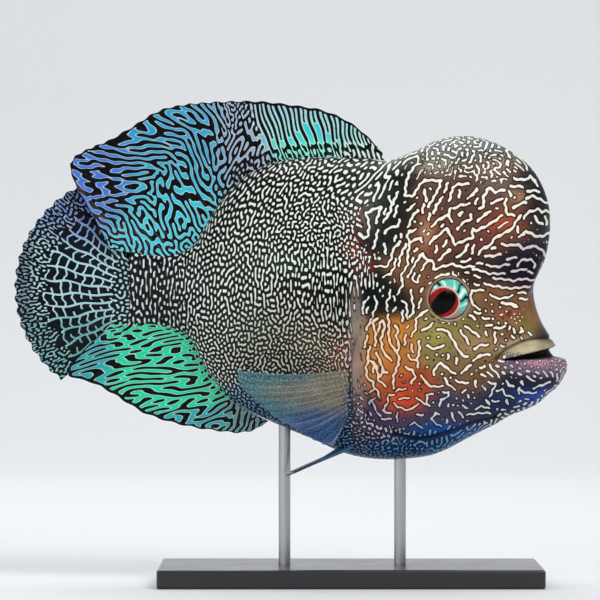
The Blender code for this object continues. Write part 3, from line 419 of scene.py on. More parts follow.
# The lines of the hump, brow, cheek and gill cover are drawn over the grown ones, alike on both
# sides: x and z in tenths of a millimetre along each, and one pair for a dot
DRAWN_LINES = (
    (434, 1418, 472, 1437, 506, 1447, 506, 1483, 523, 1476, 583, 1507, 627, 1539),
    (525, 1517, 578, 1558), (443, 1483, 463, 1507, 501, 1527, 499, 1546),
    (427, 1570, 458, 1582, 492, 1589), (448, 1539, 465, 1555),
    (533, 1568, 554, 1580, 550, 1613, 574, 1657, 603, 1637, 641, 1649), (517, 1589, 525, 1611),
    (487, 1613, 511, 1628, 525, 1652), (583, 1592, 607, 1599, 629, 1611),
    (646, 1608, 641, 1584, 653, 1543, 682, 1543), (675, 1570, 704, 1589, 733, 1596),
    (658, 1640, 668, 1623), (684, 1613), (665, 1662, 718, 1662),
    (680, 1695, 704, 1690, 745, 1695, 750, 1707, 771, 1690, 781, 1666),
    (735, 1640, 759, 1647, 791, 1642), (730, 1611, 757, 1624, 791, 1611, 820, 1596, 860, 1588),
    (723, 1529, 728, 1543, 750, 1558, 783, 1568, 800, 1556, 817, 1563, 860, 1552), (752, 1512),
    (767, 1539, 781, 1517, 805, 1505), (817, 1536, 824, 1507), (694, 1493, 698, 1473),
    (634, 1464, 672, 1486, 689, 1517, 710, 1540),
    (701, 1454, 721, 1461, 730, 1476, 752, 1466, 783, 1452, 810, 1459, 836, 1469, 870, 1474),
    (627, 1420, 656, 1416, 694, 1420, 723, 1401, 762, 1416, 800, 1401, 817, 1377, 850, 1366),
    (530, 1379, 545, 1399, 578, 1416, 603, 1449, 627, 1461), (586, 1401, 603, 1407),
    (557, 1372, 588, 1371, 622, 1379), (541, 1442), (572, 1472), (439, 1367, 470, 1384, 487, 1418),
    (460, 1346, 482, 1351, 497, 1360), (366, 1355, 390, 1379, 415, 1399), (504, 1382, 511, 1416),
    (342, 1314, 381, 1328, 424, 1338, 463, 1325, 516, 1330),
    (506, 1317, 540, 1312, 578, 1298, 644, 1299), (525, 1341, 547, 1342),
    (562, 1334, 607, 1326, 660, 1339), (653, 1355, 670, 1366, 689, 1364),
    (694, 1331, 711, 1355, 752, 1359, 771, 1343, 769, 1326), (670, 1306, 699, 1313, 733, 1318),
    (740, 1307, 759, 1302), (595, 1280, 632, 1276, 680, 1269, 723, 1278, 767, 1270, 820, 1272),
    (557, 1259, 583, 1248, 598, 1247), (607, 1247, 660, 1237, 709, 1241, 750, 1246),
    (513, 1290, 537, 1284), (475, 1302, 489, 1301), (513, 1254, 533, 1251),
    (583, 1213, 603, 1198, 636, 1195, 675, 1208), (699, 1220, 730, 1219), (704, 1194, 742, 1193),
    (627, 1177, 660, 1172, 694, 1160), (554, 1231, 501, 1227, 497, 1192, 511, 1168, 537, 1151),
    (516, 1139, 540, 1132), (562, 1145), (591, 1140), (550, 1115, 578, 1110), (594, 1112),
    (492, 1127, 518, 1110), (587, 1170), (564, 1187), (632, 1173, 651, 1177, 689, 1170),
    (622, 1158), (615, 1093), (648, 1091), (564, 1081, 588, 1086),
    (598, 1071, 632, 1074, 641, 1079), (434, 1091), (477, 1081, 535, 1038), (456, 1062, 492, 1009),
    (359, 1069, 400, 1062, 422, 1028, 443, 990, 463, 961, 487, 953), (564, 1055, 564, 1043),
    (600, 1052, 603, 1014), (629, 1045), (648, 1023), (670, 1038, 680, 1033),
    (663, 1079, 660, 1069), (677, 1067, 685, 1055), (713, 1071, 718, 1062, 706, 1052),
    (742, 1052, 752, 1045), (713, 1031), (513, 985, 535, 999, 571, 1004), (605, 985),
    (629, 999, 641, 997), (513, 939, 545, 961, 578, 961), (439, 951, 441, 924),
    (463, 886, 499, 920), (345, 879, 347, 903, 371, 927, 390, 917, 415, 893, 434, 881), (381, 883),
    (504, 879), (318, 999, 349, 985, 386, 1002), (323, 1033), (362, 1035), (357, 963), (381, 958),
    (405, 965, 405, 946), (316, 951), (316, 912), (294, 1062, 313, 1069, 340, 1093), (311, 1110),
    (390, 864, 405, 840, 434, 818), (439, 855, 453, 845, 492, 845), (518, 855, 523, 826),
    (294, 874, 313, 845, 337, 830, 381, 830), (364, 804), (417, 867),
    (386, 806, 410, 806, 405, 787, 374, 773, 371, 748), (318, 761, 316, 797, 342, 797), (345, 765),
    (463, 806, 482, 816), (513, 806), (516, 780), (439, 777), (487, 793, 494, 785),
    (576, 845, 607, 839, 593, 811, 583, 787), (612, 811, 632, 816, 651, 792, 685, 782),
    (564, 773, 583, 751), (591, 768, 622, 765), (651, 850, 660, 835, 680, 826),
    (713, 850, 721, 835), (636, 839), (704, 823, 704, 797), (713, 810, 738, 801, 776, 801),
    (767, 821, 805, 835, 834, 845), (651, 773, 660, 753), (525, 734, 545, 746, 578, 736),
    (487, 710, 535, 717, 588, 717), (419, 720, 434, 686), (453, 724, 468, 700),
    (371, 715, 357, 720, 337, 695, 357, 671, 378, 662), (109, 1115, 90, 1091, 102, 1057, 102, 999),
    (114, 1057, 119, 1091, 128, 1104, 140, 1091, 133, 1057, 123, 1028, 133, 975, 167, 941),
    (152, 1129, 157, 1086, 155, 1038, 167, 999, 191, 975),
    (181, 1086, 196, 1067, 186, 1038, 200, 1004, 191, 975, 200, 941, 186, 898, 176, 874, 176, 826),
    (80, 999, 70, 961, 73, 941, 63, 912, 68, 869, 94, 850, 97, 826, 80, 806),
    (73, 941, 85, 936, 97, 922, 92, 893), (106, 975, 116, 946, 128, 922, 133, 898),
    (97, 936, 109, 903, 116, 859, 143, 835), (119, 874, 128, 888, 152, 891),
    (104, 826, 116, 806, 119, 782), (75, 763, 85, 777, 104, 789), (90, 777, 99, 748, 123, 710),
    (128, 700, 167, 700), (225, 912, 254, 898, 268, 874, 249, 845), (249, 1004, 256, 975),
    (282, 1018, 285, 980, 275, 941, 280, 912), (239, 961, 244, 946, 273, 936),
    (316, 1149, 297, 1134, 270, 1110, 270, 1071, 249, 1038), (225, 1043, 222, 1004),
    (215, 1144, 213, 1100), (186, 806, 196, 821, 229, 821),
    (181, 799, 157, 799, 152, 763, 133, 734, 167, 722), (200, 782, 244, 785),
    (176, 763, 196, 748, 239, 732, 282, 758), (193, 727, 193, 686), (275, 712, 302, 712),
    (273, 787, 297, 765, 326, 748), (287, 816), (287, 842), (208, 876),
    (63, 1067, 75, 1091, 85, 1110), (56, 994, 70, 1043), (225, 693), (244, 671, 268, 681, 297, 654),
    (61, 811, 70, 804), (162, 1231, 162, 1202, 147, 1178, 152, 1144),
    (249, 1231, 254, 1192, 261, 1144, 246, 1117), (210, 1187, 232, 1168, 234, 1110),
    (99, 1206, 109, 1168, 94, 1139, 90, 1120), (75, 1202, 51, 1173, 49, 1134), (70, 1158, 65, 1134),
    (176, 1139, 186, 1158), (179, 1206, 181, 1187), (292, 1197, 280, 1158),
    (294, 1761, 270, 1751, 246, 1718, 231, 1674, 227, 1626, 256, 1619, 289, 1669, 313, 1689, 376,
     1684, 366, 1650, 338, 1602, 321, 1578), (410, 1602, 424, 1655, 444, 1669, 492, 1672),
    (403, 1674, 391, 1636), (381, 1616, 357, 1583, 345, 1549), (306, 1650, 316, 1597), (333, 1650),
    (453, 1645, 451, 1616), (415, 1568, 405, 1544, 366, 1522, 338, 1496), (405, 1544, 419, 1515),
    (328, 1419, 338, 1438, 400, 1486, 434, 1418), (376, 1496, 386, 1503), (357, 1414, 354, 1385),
    (400, 1438, 386, 1414), (270, 1481, 241, 1472, 234, 1448, 246, 1428, 289, 1448, 297, 1428),
    (246, 1428, 236, 1380, 236, 1332, 207, 1289, 217, 1255, 193, 1211), (294, 1506), (268, 1515),
    (328, 1549, 325, 1520), (280, 1563, 256, 1534, 239, 1491), (265, 1587, 236, 1561),
    (304, 1587, 297, 1549), (231, 1419, 217, 1395, 203, 1361, 200, 1327),
    (207, 1433, 174, 1395, 169, 1361, 149, 1327, 101, 1330),
    (186, 1361, 181, 1327, 164, 1298, 135, 1284),
    (236, 1284, 260, 1327, 297, 1383, 318, 1351, 294, 1313), (318, 1351, 338, 1356, 348, 1315),
    (263, 1392, 277, 1404), (258, 1366, 256, 1346), (263, 1298, 256, 1269, 277, 1262, 284, 1293),
    (321, 1286), (287, 1223, 301, 1240), (140, 1467, 145, 1477, 169, 1491, 198, 1496, 203, 1525),
    (186, 1457, 183, 1433), (212, 1462, 207, 1450), (140, 1424, 145, 1380),
    (113, 1481, 104, 1438, 94, 1404), (193, 1578, 183, 1534), (145, 1568, 140, 1544),
    (159, 1621, 171, 1583, 164, 1554, 135, 1510), (198, 1641, 174, 1587),
    (72, 1549, 96, 1568, 128, 1575, 116, 1544, 104, 1506),
    (63, 1554, 77, 1501, 72, 1457, 53, 1443, 34, 1467), (227, 1597), (277, 1612),
)
# Marks as grown are left only beyond this distance from a drawn line, with a soft change
DRAWN_REACH, DRAWN_FADE = 2.8, 0.7
# Half of a line's width, the mark's value on the line's edge, and its fall for 1 mm
DRAWN_HALF, DRAWN_EDGE, DRAWN_FALL = 0.46, 0.16, 1.3
face = (skin_x > 2.0) & (skin_z > 62.0) & (skin_z < 176.0)
# The brush wanders a little from the straight
face_x = skin_x[face] + 0.22 * np.sin(1.9 * skin_z[face] + 0.6 * skin_x[face])
face_z = skin_z[face] + 0.22 * np.sin(1.7 * skin_x[face] - 0.5 * skin_z[face])
to_line = np.full(face_x.shape, 9.0)
for run in DRAWN_LINES:
    ends = [(x / 10, z / 10) for x, z in zip(run[::2], run[1::2])]
    for (x, z), (next_x, next_z) in zip(ends, ends[1:] or ends):
        dx, dz = next_x - x, next_z - z
        t = ((face_x - x) * dx + (face_z - z) * dz) / max(dx * dx + dz * dz, 1e-6)
        t = np.clip(t, 0.0, 1.0)
        to_line = np.minimum(to_line, np.hypot(face_x - x - t * dx, face_z - z - t * dz))
# It presses harder on the hump and below the eye, and less on the cover and the chin
half_line = DRAWN_HALF + 0.09 * ease(133.0, 138.0, face_z) + 0.05 * ease(118.0, 112.0, face_z)
half_line -= 0.05 * ease(32.0, 26.0, face_x)
half_line += 0.07 * np.sin(1.1 * face_x + 2.3 * face_z)
half_line -= 0.12 * ease(86.0, 82.0, face_z)
blend = ease(DRAWN_REACH, DRAWN_REACH - DRAWN_FADE, to_line)
skin_mark[face] *= 1.0 - blend
skin_mark[face] += blend * np.clip(DRAWN_EDGE + DRAWN_FALL * (half_line - to_line), -1.0, 1.0)

# Paint of the skin
# Airbrushed grounds that run into each other, one patch for each part of the body, under the
# pale lines. The colours are those of the real fish's skin, lines, eyelids and fins; the saturated
# blue of the throat and chin is partly painted blue ambient light.
PAINTS = {
    "ink": "050a09", "bottle": "070d0b", "moss": "0d140f", "sage": "333831", "brick": "9c3f20",
    "rust": "77452f", "maroon": "5d423b", "umber": "3c2a26", "olive": "82703f", "bronze": "7a5438",
    "gold": "c27c30", "stone": "6c6e6c", "slate": "2a2327", "plum": "150f20", "navy": "122347",
    "sea": "16417c", "mauve": "7d6a7c", "drab": "847c6c", "violet": "3d3650", "rose": "86645f",
    "deep": "020d12", "abyss": "020919", "pine": "021312", "teal": "2f6f78", "flame": "d9481f",
    "ember": "b5482f", "wine": "6a2c34", "clay": "b98a68", "moth": "b5ab96", "reed": "a39a4e",
    "night": "0a0712", "fern": "1f5638", "bark": "6b4a30", "petal": "cf93a4", "marine": "184fc4",
    "lid": "b39d84", "dun": "8d8073", "putty": "b8a98a",
}
PALES = {
    "cream": "f4e8d6", "ivory": "e2e6dc", "ice": "9ccdd4", "bone": "c4c1b0", "peach": "f2cfb0",
    "mist": "cfd8da", "pool": "6d9fc4", "shell": "d2c1cb", "aqua": "3cc8cc", "foam": "cfe6dc",
    "mint": "5ff0cc", "dusk": "9aa6c4", "azure": "2a9cc6", "cobalt": "4474cc", "cyan": "38c8da",
    "jade": "26cfa2", "lagoon": "2a9fa8", "haze": "5d8f94", "tan": "b3a488", "denim": "3a6a92",
    "grape": "4a3f86",
}
# Each patch: x, z, reach in x and z, ground and line
BODY_PATCHES = {
    "tail stalk": (-80, 123, 14, 18, "ink", "mist"),
    "rear flank": (-57, 125, 14, 28, "bottle", "ivory"),
    "middle flank": (-29, 138, 20, 22, "bottle", "ivory"),
    "upper flank": (-25, 167, 22, 12, "moss", "ivory"),
    "shoulder": (8, 164, 8, 9, "sage", "ivory"),
    "lower flank": (-31, 104, 20, 14, "moss", "bone"),
    "fin's root": (-10, 88, 8, 7, "bark", "bone"),
    "belly": (-20, 74, 22, 10, "navy", "pool"),
    "nape": (16, 172, 8, 10, "moss", "ivory"),
    "nape flower": (20, 152, 6, 9, "ink", "ivory"),
    "cover flower": (14, 121, 8, 6, "ink", "ivory"),
    "crown": (50, 184, 16, 7, "stone", "ivory"),
    "hump": (46, 160, 15, 13, "maroon", "cream"),
    "hump glow": (62, 150, 9, 8, "rust", "cream"),
    "forehead": (81, 160, 7, 13, "slate", "ivory"),
    "brow": (76, 134, 10, 8, "plum", "shell"),
    "hump rear": (34, 144, 9, 11, "rust", "cream"),
    "temple": (28, 130, 8, 7, "bronze", "cream"),
    "over the eye": (44, 134, 9, 5, "umber", "cream"),
    "snout": (66, 112, 9, 8, "bronze", "cream"),
    "snout tip": (83, 104, 5, 5, "slate", "mist"),
    "cheek": (44, 101, 10, 9, "olive", "cream"),
    "lower cheek": (50, 87, 9, 7, "bronze", "cream"),
    "jowl": (42, 75, 10, 5, "violet", "mist"),
    "upper lip": (77, 99.8, 9, 2.6, "putty", "bone"),
    "lower lip": (78, 91, 9, 3.5, "mauve", "shell"),
    "lower jaw": (62, 78, 12, 6, "navy", "mist"),
    "under the lip": (74, 85, 11, 3.2, "plum", "mist"),
    "throat": (32, 61, 14, 5, "sea", "pool"),
    "gill cover": (15, 95, 8, 10, "gold", "peach"),
    "red cover": (22, 82, 9, 7, "brick", "peach"),
    "low cover": (15, 68, 10, 5, "violet", "shell"),
    "cover's edge": (2.3, 98, 2.3, 17, "dun", "shell"),
    "cover's low edge": (3.5, 76, 2.3, 7, "rose", "shell"),
}


def paint(code):
    """A colour's sRGB hex code as linear red, green, blue and alpha."""
    parts = [int(code[k:k + 2], 16) / 255.0 for k in (0, 2, 4)]
    linear = [c / 12.92 if c <= 0.04045 else ((c + 0.055) / 1.055) ** 2.4 for c in parts]
    return (*linear, 1.0)


def airbrush(x, z, patches):
    """Ground and line colours at each point, each patch running into its neighbours."""
    patches = list(patches.values())
    reach = [((x - px) / rx) ** 2 + ((z - pz) / rz) ** 2 for px, pz, rx, rz, _, _ in patches]
    nearest = np.minimum.reduce(reach)
    ground, line = np.zeros((*x.shape, 4)), np.zeros((*x.shape, 4))
    total = np.zeros(x.shape)
    for off, (*_, ground_name, line_name) in zip(reach, patches):
        w = np.exp(-1.3 * (off - nearest))
        ground += w[..., None] * np.array(paint(PAINTS[ground_name]))
        line += w[..., None] * np.array(paint(PALES[line_name]))
        total += w
    return ground / total[..., None], line / total[..., None]


def touched(ground, name, share):
    """Ground colours with another paint laid over them by its share at each point."""
    return ground + (np.array(paint(PAINTS[name])) - ground) * share[..., None]


# Smaller touches on the body: x, z, reach in x and z, colour, share
BODY_TOUCHES = {
    "temple glow": (31.5, 147, 3, 5, "clay", 0.7),
    "hump red": (63, 150.5, 6, 3, "ember", 0.9),
    "hump wine": (54, 143, 9, 5, "wine", 0.7),
    "hump pink": (70, 162, 4, 3, "clay", 0.6),
    "crown pale": (36, 175, 7, 4, "moth", 0.75),
    "crown front": (62, 176, 9, 4, "clay", 0.5),
    "brow dark": (72, 135, 14, 6, "night", 0.95),
    "front dark": (83, 148, 6, 8, "night", 0.7),
    "cheek reed": (36, 104, 7, 5, "reed", 0.75),
    "cheek clay": (51, 100, 7, 4, "clay", 0.6),
    "cover flame": (22, 78.5, 7, 5, "flame", 0.9),
    "cover ember": (18, 88, 6, 7, "ember", 0.5),
    "flank ember": (-4.5, 97, 4.5, 6, "ember", 0.75),
    "shoulder red": (1, 140, 3.5, 5, "ember", 0.55),
    "shoulder low": (6, 134, 3.5, 4, "ember", 0.5),
    "shoulder high": (3, 153, 5, 5, "rust", 0.6),
    "flank fern": (-25, 134, 13, 5, "fern", 0.5),
    "low fern": (-42, 106, 16, 8, "fern", 0.45),
    "low bark": (-17, 101, 9, 7, "bark", 0.6),
    "lip petal": (80, 92.5, 7, 2, "petal", 0.8),
    "nostril red": (66, 113, 3.5, 2.4, "ember", 0.8),
    "snout tan": (74, 108, 6, 4.5, "reed", 0.35),
    # The chin and throat are painted saturated blue: partly their own navy, partly painted blue
    # ambient light on the underside of the head
    "chin navy with painted blue light": (80, 78, 9, 3.5, "marine", 0.8),
    "throat navy with painted blue light": (50, 63.5, 14, 3, "marine", 0.6),
}
skin_ground, skin_line = airbrush(skin_x, skin_z, BODY_PATCHES)
for *place, name, share in BODY_TOUCHES.values():
    skin_ground = touched(skin_ground, name, share * spot(skin_x, skin_z, *place))
skin_ground = touched(skin_ground, "lid", 0.8 * both_sides(bell(eye_reach - LID_INNER_RADIUS, 0.5)))
# Painted shade: the lip and throat creases are darkened, and the mouth's opening is painted black,
# ground and line alike, as the shade inside it
painted_crease_shade = 0.85 * np.minimum(both_sides(bell(creases[0], 0.7) + bell(creases[1], 1.3)), 1.0)
skin_ground[..., :3] *= 1.0 - painted_crease_shade[..., None]
for colours in (skin_ground, skin_line):
    colours[..., :3] *= 1.0 - both_sides(in_mouth)[..., None]


def mesh_piece(name, points, faces, **fields):
    """A smooth-shaded object from points in millimetres, with fields kept as attributes."""
    mesh = bpy.data.meshes.new(name)
    points, faces = np.asarray(points, dtype=np.float32).reshape(-1, 3), np.asarray(faces)
    mesh.vertices.add(len(points))
    mesh.vertices.foreach_set("co", (points * MM).ravel())
    mesh.loops.add(faces.size)
    mesh.loops.foreach_set("vertex_index", faces.ravel().astype(np.int32))
    mesh.polygons.add(len(faces))
    mesh.polygons.foreach_set("loop_start", np.arange(len(faces), dtype=np.int32) * faces.shape[1])
    mesh.update(calc_edges=True)
    for key, values in fields.items():
        values = np.asarray(values, dtype=np.float32)
        one = values.size == len(points)
        made = mesh.attributes.new(key, "FLOAT" if one else "FLOAT_COLOR", "POINT")
        made.data.foreach_set("value" if one else "color", values.ravel())
    mesh.shade_smooth()
    piece = bpy.data.objects.new(name, mesh)
    bpy.context.scene.collection.objects.link(piece)
    return piece


def feed(node, key, value):
    """Sets an input to a value, or links it to the node and output that the value names."""
    if isinstance(value, tuple) and isinstance(value[0], bpy.types.Node):
        node.id_data.links.new(value[0].outputs[value[1]], node.inputs[key])
    else:
        node.inputs[key].default_value = value


def add(tree, kind, links=None, **settings):
    """Adds a shader node with its settings and its inputs."""
    node = tree.nodes.new("ShaderNode" + kind)
    for key, value in settings.items():
        setattr(node, key, value)
    for key, value in (links or {}).items():
        feed(node, key, value)
    return node


def field(tree, name, output="Fac"):
    """A value, or a colour, that the mesh holds at each point."""
    return add(tree, "Attribute", attribute_name=name), output


def noise(tree, scale, detail):
    """Noise by that many cells to the metre."""
    place = add(tree, "TexCoord"), "Object"
    return add(tree, "TexNoise", {"Vector": place, "Scale": scale, "Detail": detail}), "Fac"


def ramp(tree, value, low=0.0, high=1.0, least=0.0, most=1.0, soft=False):
    """Carries a value's run from low to high over to least to most."""
    links = {"Value": value, "From Min": low, "From Max": high, "To Min": least, "To Max": most}
    kind = "SMOOTHSTEP" if soft else "LINEAR"
    return add(tree, "MapRange", links, interpolation_type=kind), "Result"


def mix(tree, factor, first, second):
    """The first colour at factor 0 and the second at 1."""
    return add(tree, "Mix", {"Factor": factor, 6: first, 7: second}, data_type="RGBA"), 2


def scaled_colour(tree, colour, factor):
    """A colour made darker or lighter by a factor."""
    return add(tree, "VectorMath", {0: colour, "Scale": factor}, operation="SCALE"), 0


def raise_by(tree, shader, height, strength, distance):
    """Fine relief under the finish, by a height of that many metres."""
    bump = add(tree, "Bump", {"Height": height, "Strength": strength, "Distance": distance})
    feed(shader, "Normal", (bump, "Normal"))


def open_material(name, **sockets):
    """A new material's node tree and shader, with constants set on the shader's own sockets."""
    made = bpy.data.materials.new(name)
    made.use_nodes = True
    shader = made.node_tree.nodes["Principled BSDF"]
    for key, value in sockets.items():
        shader.inputs[key.replace("_", " ")].default_value = value
    return made, made.node_tree, shader


def marked_skin(name, line_at, outline_from, outline_soft, roughness, relief=0.12, core_at=None):
    """Wet skin: airbrushed ground, dark outline and pale line by the grown marks.

    Where core_at is given, a mark wider than that keeps a pale rim round its own colour.
    """
    # Slime over the scales gives a weak wet coat: a soft shine that leaves the paint deep
    made, tree, shader = open_material(
        name, IOR=1.4, Specular_IOR_Level=0.2, Coat_Weight=0.08, Coat_Roughness=0.12)
    ground, line = field(tree, "ground", "Color"), field(tree, "line", "Color")
    # A grain of 1 mm makes the lines' edges uneven, as pigment cells do
    grain = noise(tree, 900.0, 3.0)
    wander = ramp(tree, grain, least=-0.035, most=0.035)
    edge = add(tree, "Math", {0: field(tree, "mark"), 1: wander}, operation="ADD"), 0
    pale = ramp(tree, edge, line_at - 0.03, line_at + 0.05, soft=True)
    rim = ramp(tree, edge, outline_from - outline_soft, outline_from + outline_soft, soft=True)
    # Clouds of 6 mm mottle the ground and its sheen, so that no part looks sprayed flat
    cloud = noise(tree, 160.0, 4.0)
    rich = scaled_colour(tree, ground, ramp(tree, cloud, 0.3, 0.7, 0.75, 1.2))
    lined = mix(tree, rim, rich, scaled_colour(tree, ground, 0.14))
    if core_at is not None:
        lit = mix(tree, 0.45, line, paint("e4efe6"))
        line = mix(tree, ramp(tree, edge, core_at - 0.1, core_at + 0.1, soft=True), lit, line)
    feed(shader, "Base Color", mix(tree, pale, lined, line))
    feed(shader, "Roughness", ramp(tree, cloud, least=roughness - 0.08, most=roughness + 0.1))
    raised = add(tree, "Math", {0: pale, 1: grain}, operation="ADD")
    raise_by(tree, shader, (raised, 0), relief, 0.0003)
    return made


def ring_faces(rings, around):
    """Quads between closed rings of points, facing outward."""
    i, k = np.meshgrid(np.arange(rings - 1), np.arange(around), indexing="ij")
    n = (k + 1) % around
    return np.stack([i * around + k, (i + 1) * around + k, (i + 1) * around + n, i * around + n],
                    axis=-1).reshape(-1, 4)


def bake_map(piece, places):
    """The UV map for baking, from a place between 0 and 1 for each corner."""
    layer = piece.data.uv_layers.new(name="OFBake")
    layer.uv.foreach_set("vector", np.asarray(places, dtype=np.float32).ravel())


rings, around = skin_mark.shape
faces = [ring_faces(rings, around)]
k = np.arange(1, SKIN_STEPS)
for first, turned in ((0, False), ((rings - 1) * around, True)):
    caps = np.stack([first + k - 1, first + k, first + (around - k) % around,
                     first + (around - k + 1) % around], axis=-1)
    caps[0, 3] = caps[0, 0]
    faces.append(caps[:, ::-1] if turned else caps)
skin_faces = np.concatenate([faces[0], faces[1][1:], faces[2][1:]])
skin = mesh_piece(
    "fish_skin", skin_grid, skin_faces, mark=skin_mark, ground=skin_ground, line=skin_line)
corner_ring, corner_place = np.divmod(skin_faces, around)
past_seam = (corner_place == 0) & (skin_faces.max(axis=1, keepdims=True) % around > around / 2)
turn = np.where(past_seam, around, corner_place)
bake_map(skin, np.stack([turn / around, corner_ring / rings], axis=-1))
skin.data.materials.append(marked_skin("wet_scaled_skin", 0.16, -0.56, 0.2, 0.36))
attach(skin, "root")
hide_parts("torso", "tail_stalk", "head", "nuchal_hump", "lower_jaw", "gill_cover_left",
            "gill_cover_right")

# Dorsal, tail and anal fins
# Real fins are skin stretched over jointed bony rays that fork towards their tips. The model's
# are thin cast resin sheets, painted on both faces and rooted in the back, the stalk and the belly.
FIN_MEMBRANE, FIN_RIDGE, RIDGE_WIDTH, RAY_FORK = 0.28, 0.3, 0.42, 0.17
# Guides of a fin in the middle plane: place along its base, and x and z of the margin there
DORSAL_GUIDES = np.array((
    (0.00, 13.5, 181.5), (0.08, 2.5, 192), (0.17, -10.5, 198.5), (0.27, -24.5, 201),
    (0.37, -38, 202.5), (0.47, -50, 202.5), (0.56, -61, 202), (0.64, -70.5, 201),
    (0.71, -80.5, 198.5), (0.77, -90.5, 192.5), (0.83, -101.5, 186), (0.88, -110, 182.5),
    (0.93, -117, 177.5), (0.97, -116, 169), (0.99, -109, 156), (1.00, -100.5, 139.8),
))
DORSAL_RAYS, DORSAL_BASE = 28, (14.5, -88.0)
ANAL_GUIDES = np.array((
    (0.00, -37, 66), (0.12, -44, 63), (0.25, -53.5, 63.5), (0.38, -64.5, 65), (0.50, -75.5, 67.5),
    (0.62, -87, 71.5), (0.74, -97.5, 78), (0.85, -107, 83.5), (0.94, -118.5, 87.5),
    (0.98, -114.5, 94.5), (1.00, -101, 108.6),
))
ANAL_RAYS, ANAL_BASE = 15, (-34.0, -90.0)
CAUDAL_RADIUS, CAUDAL_ANGLES, CAUDAL_RAYS, CAUDAL_CURL = 48.0, (78.0, -54.0), 20, 7.0
# The tail fin's root: x, and z of its upper and lower end
CAUDAL_BASE = (-93.15, 139.0, 109.0)


def ray_ends(guides, count):
    """Base places and tips of the rays, evenly spread among the guide rays."""
    read = smooth(np.arange(len(guides)), guides, np.linspace(0, len(guides) - 1, count))
    return read[:, 0], read[:, 1:]


def edge_line(edge, limits, off):
    """The back's (0) or the belly's (1) line between two x, moved off the body."""
    u = np.linspace(0.0, RIB_KNOTS[-6], 400)
    x, _, z = body_surface(u, np.full_like(u, edge))
    inside = (x <= max(limits)) & (x >= min(limits))
    line = np.stack([x, z], axis=1)[inside][::-1]
    step = np.gradient(line, axis=0)
    step /= np.linalg.norm(step, axis=1, keepdims=True)
    away = np.stack([step[:, 1], -step[:, 0]], axis=1) * (1.0 if edge < 0.5 else -1.0)
    line = line + away * off
    length = np.concatenate(([0.0], np.cumsum(np.linalg.norm(np.diff(line, axis=0), axis=1))))
    return line, length / length[-1]


def midline_rays(edge, limits, guides, count, lean):
    """Bases and tips of the rays of a fin in the middle plane."""
    places, tips = ray_ends(guides, count)
    line, length = edge_line(edge, limits, 0.4)
    bases = np.stack([np.interp(places, length, line[:, 0]), np.zeros(count),
                      np.interp(places, length, line[:, 1])], axis=1)
    tips = np.stack([tips[:, 0], lean * np.linspace(0.0, 1.0, count) ** 2, tips[:, 1]], axis=1)
    return bases, tips


def caudal_rays():
    """Bases and tips of the tail fin's rays, which fan out from the stalk's end."""
    places = np.linspace(0.0, 1.0, CAUDAL_RAYS)
    x, top, bottom = CAUDAL_BASE
    root_z = top + places * (bottom - top)
    bases = np.stack([np.full(CAUDAL_RAYS, x), np.zeros(CAUDAL_RAYS), root_z], axis=1)
    angles = np.radians(CAUDAL_ANGLES[0] + places * (CAUDAL_ANGLES[1] - CAUDAL_ANGLES[0]))
    tips = np.stack([x - CAUDAL_RADIUS * np.cos(angles), CAUDAL_CURL * (1.0 - places) ** 2,
                     (top + bottom) / 2 + CAUDAL_RADIUS * np.sin(angles)], axis=1)
    return bases, tips


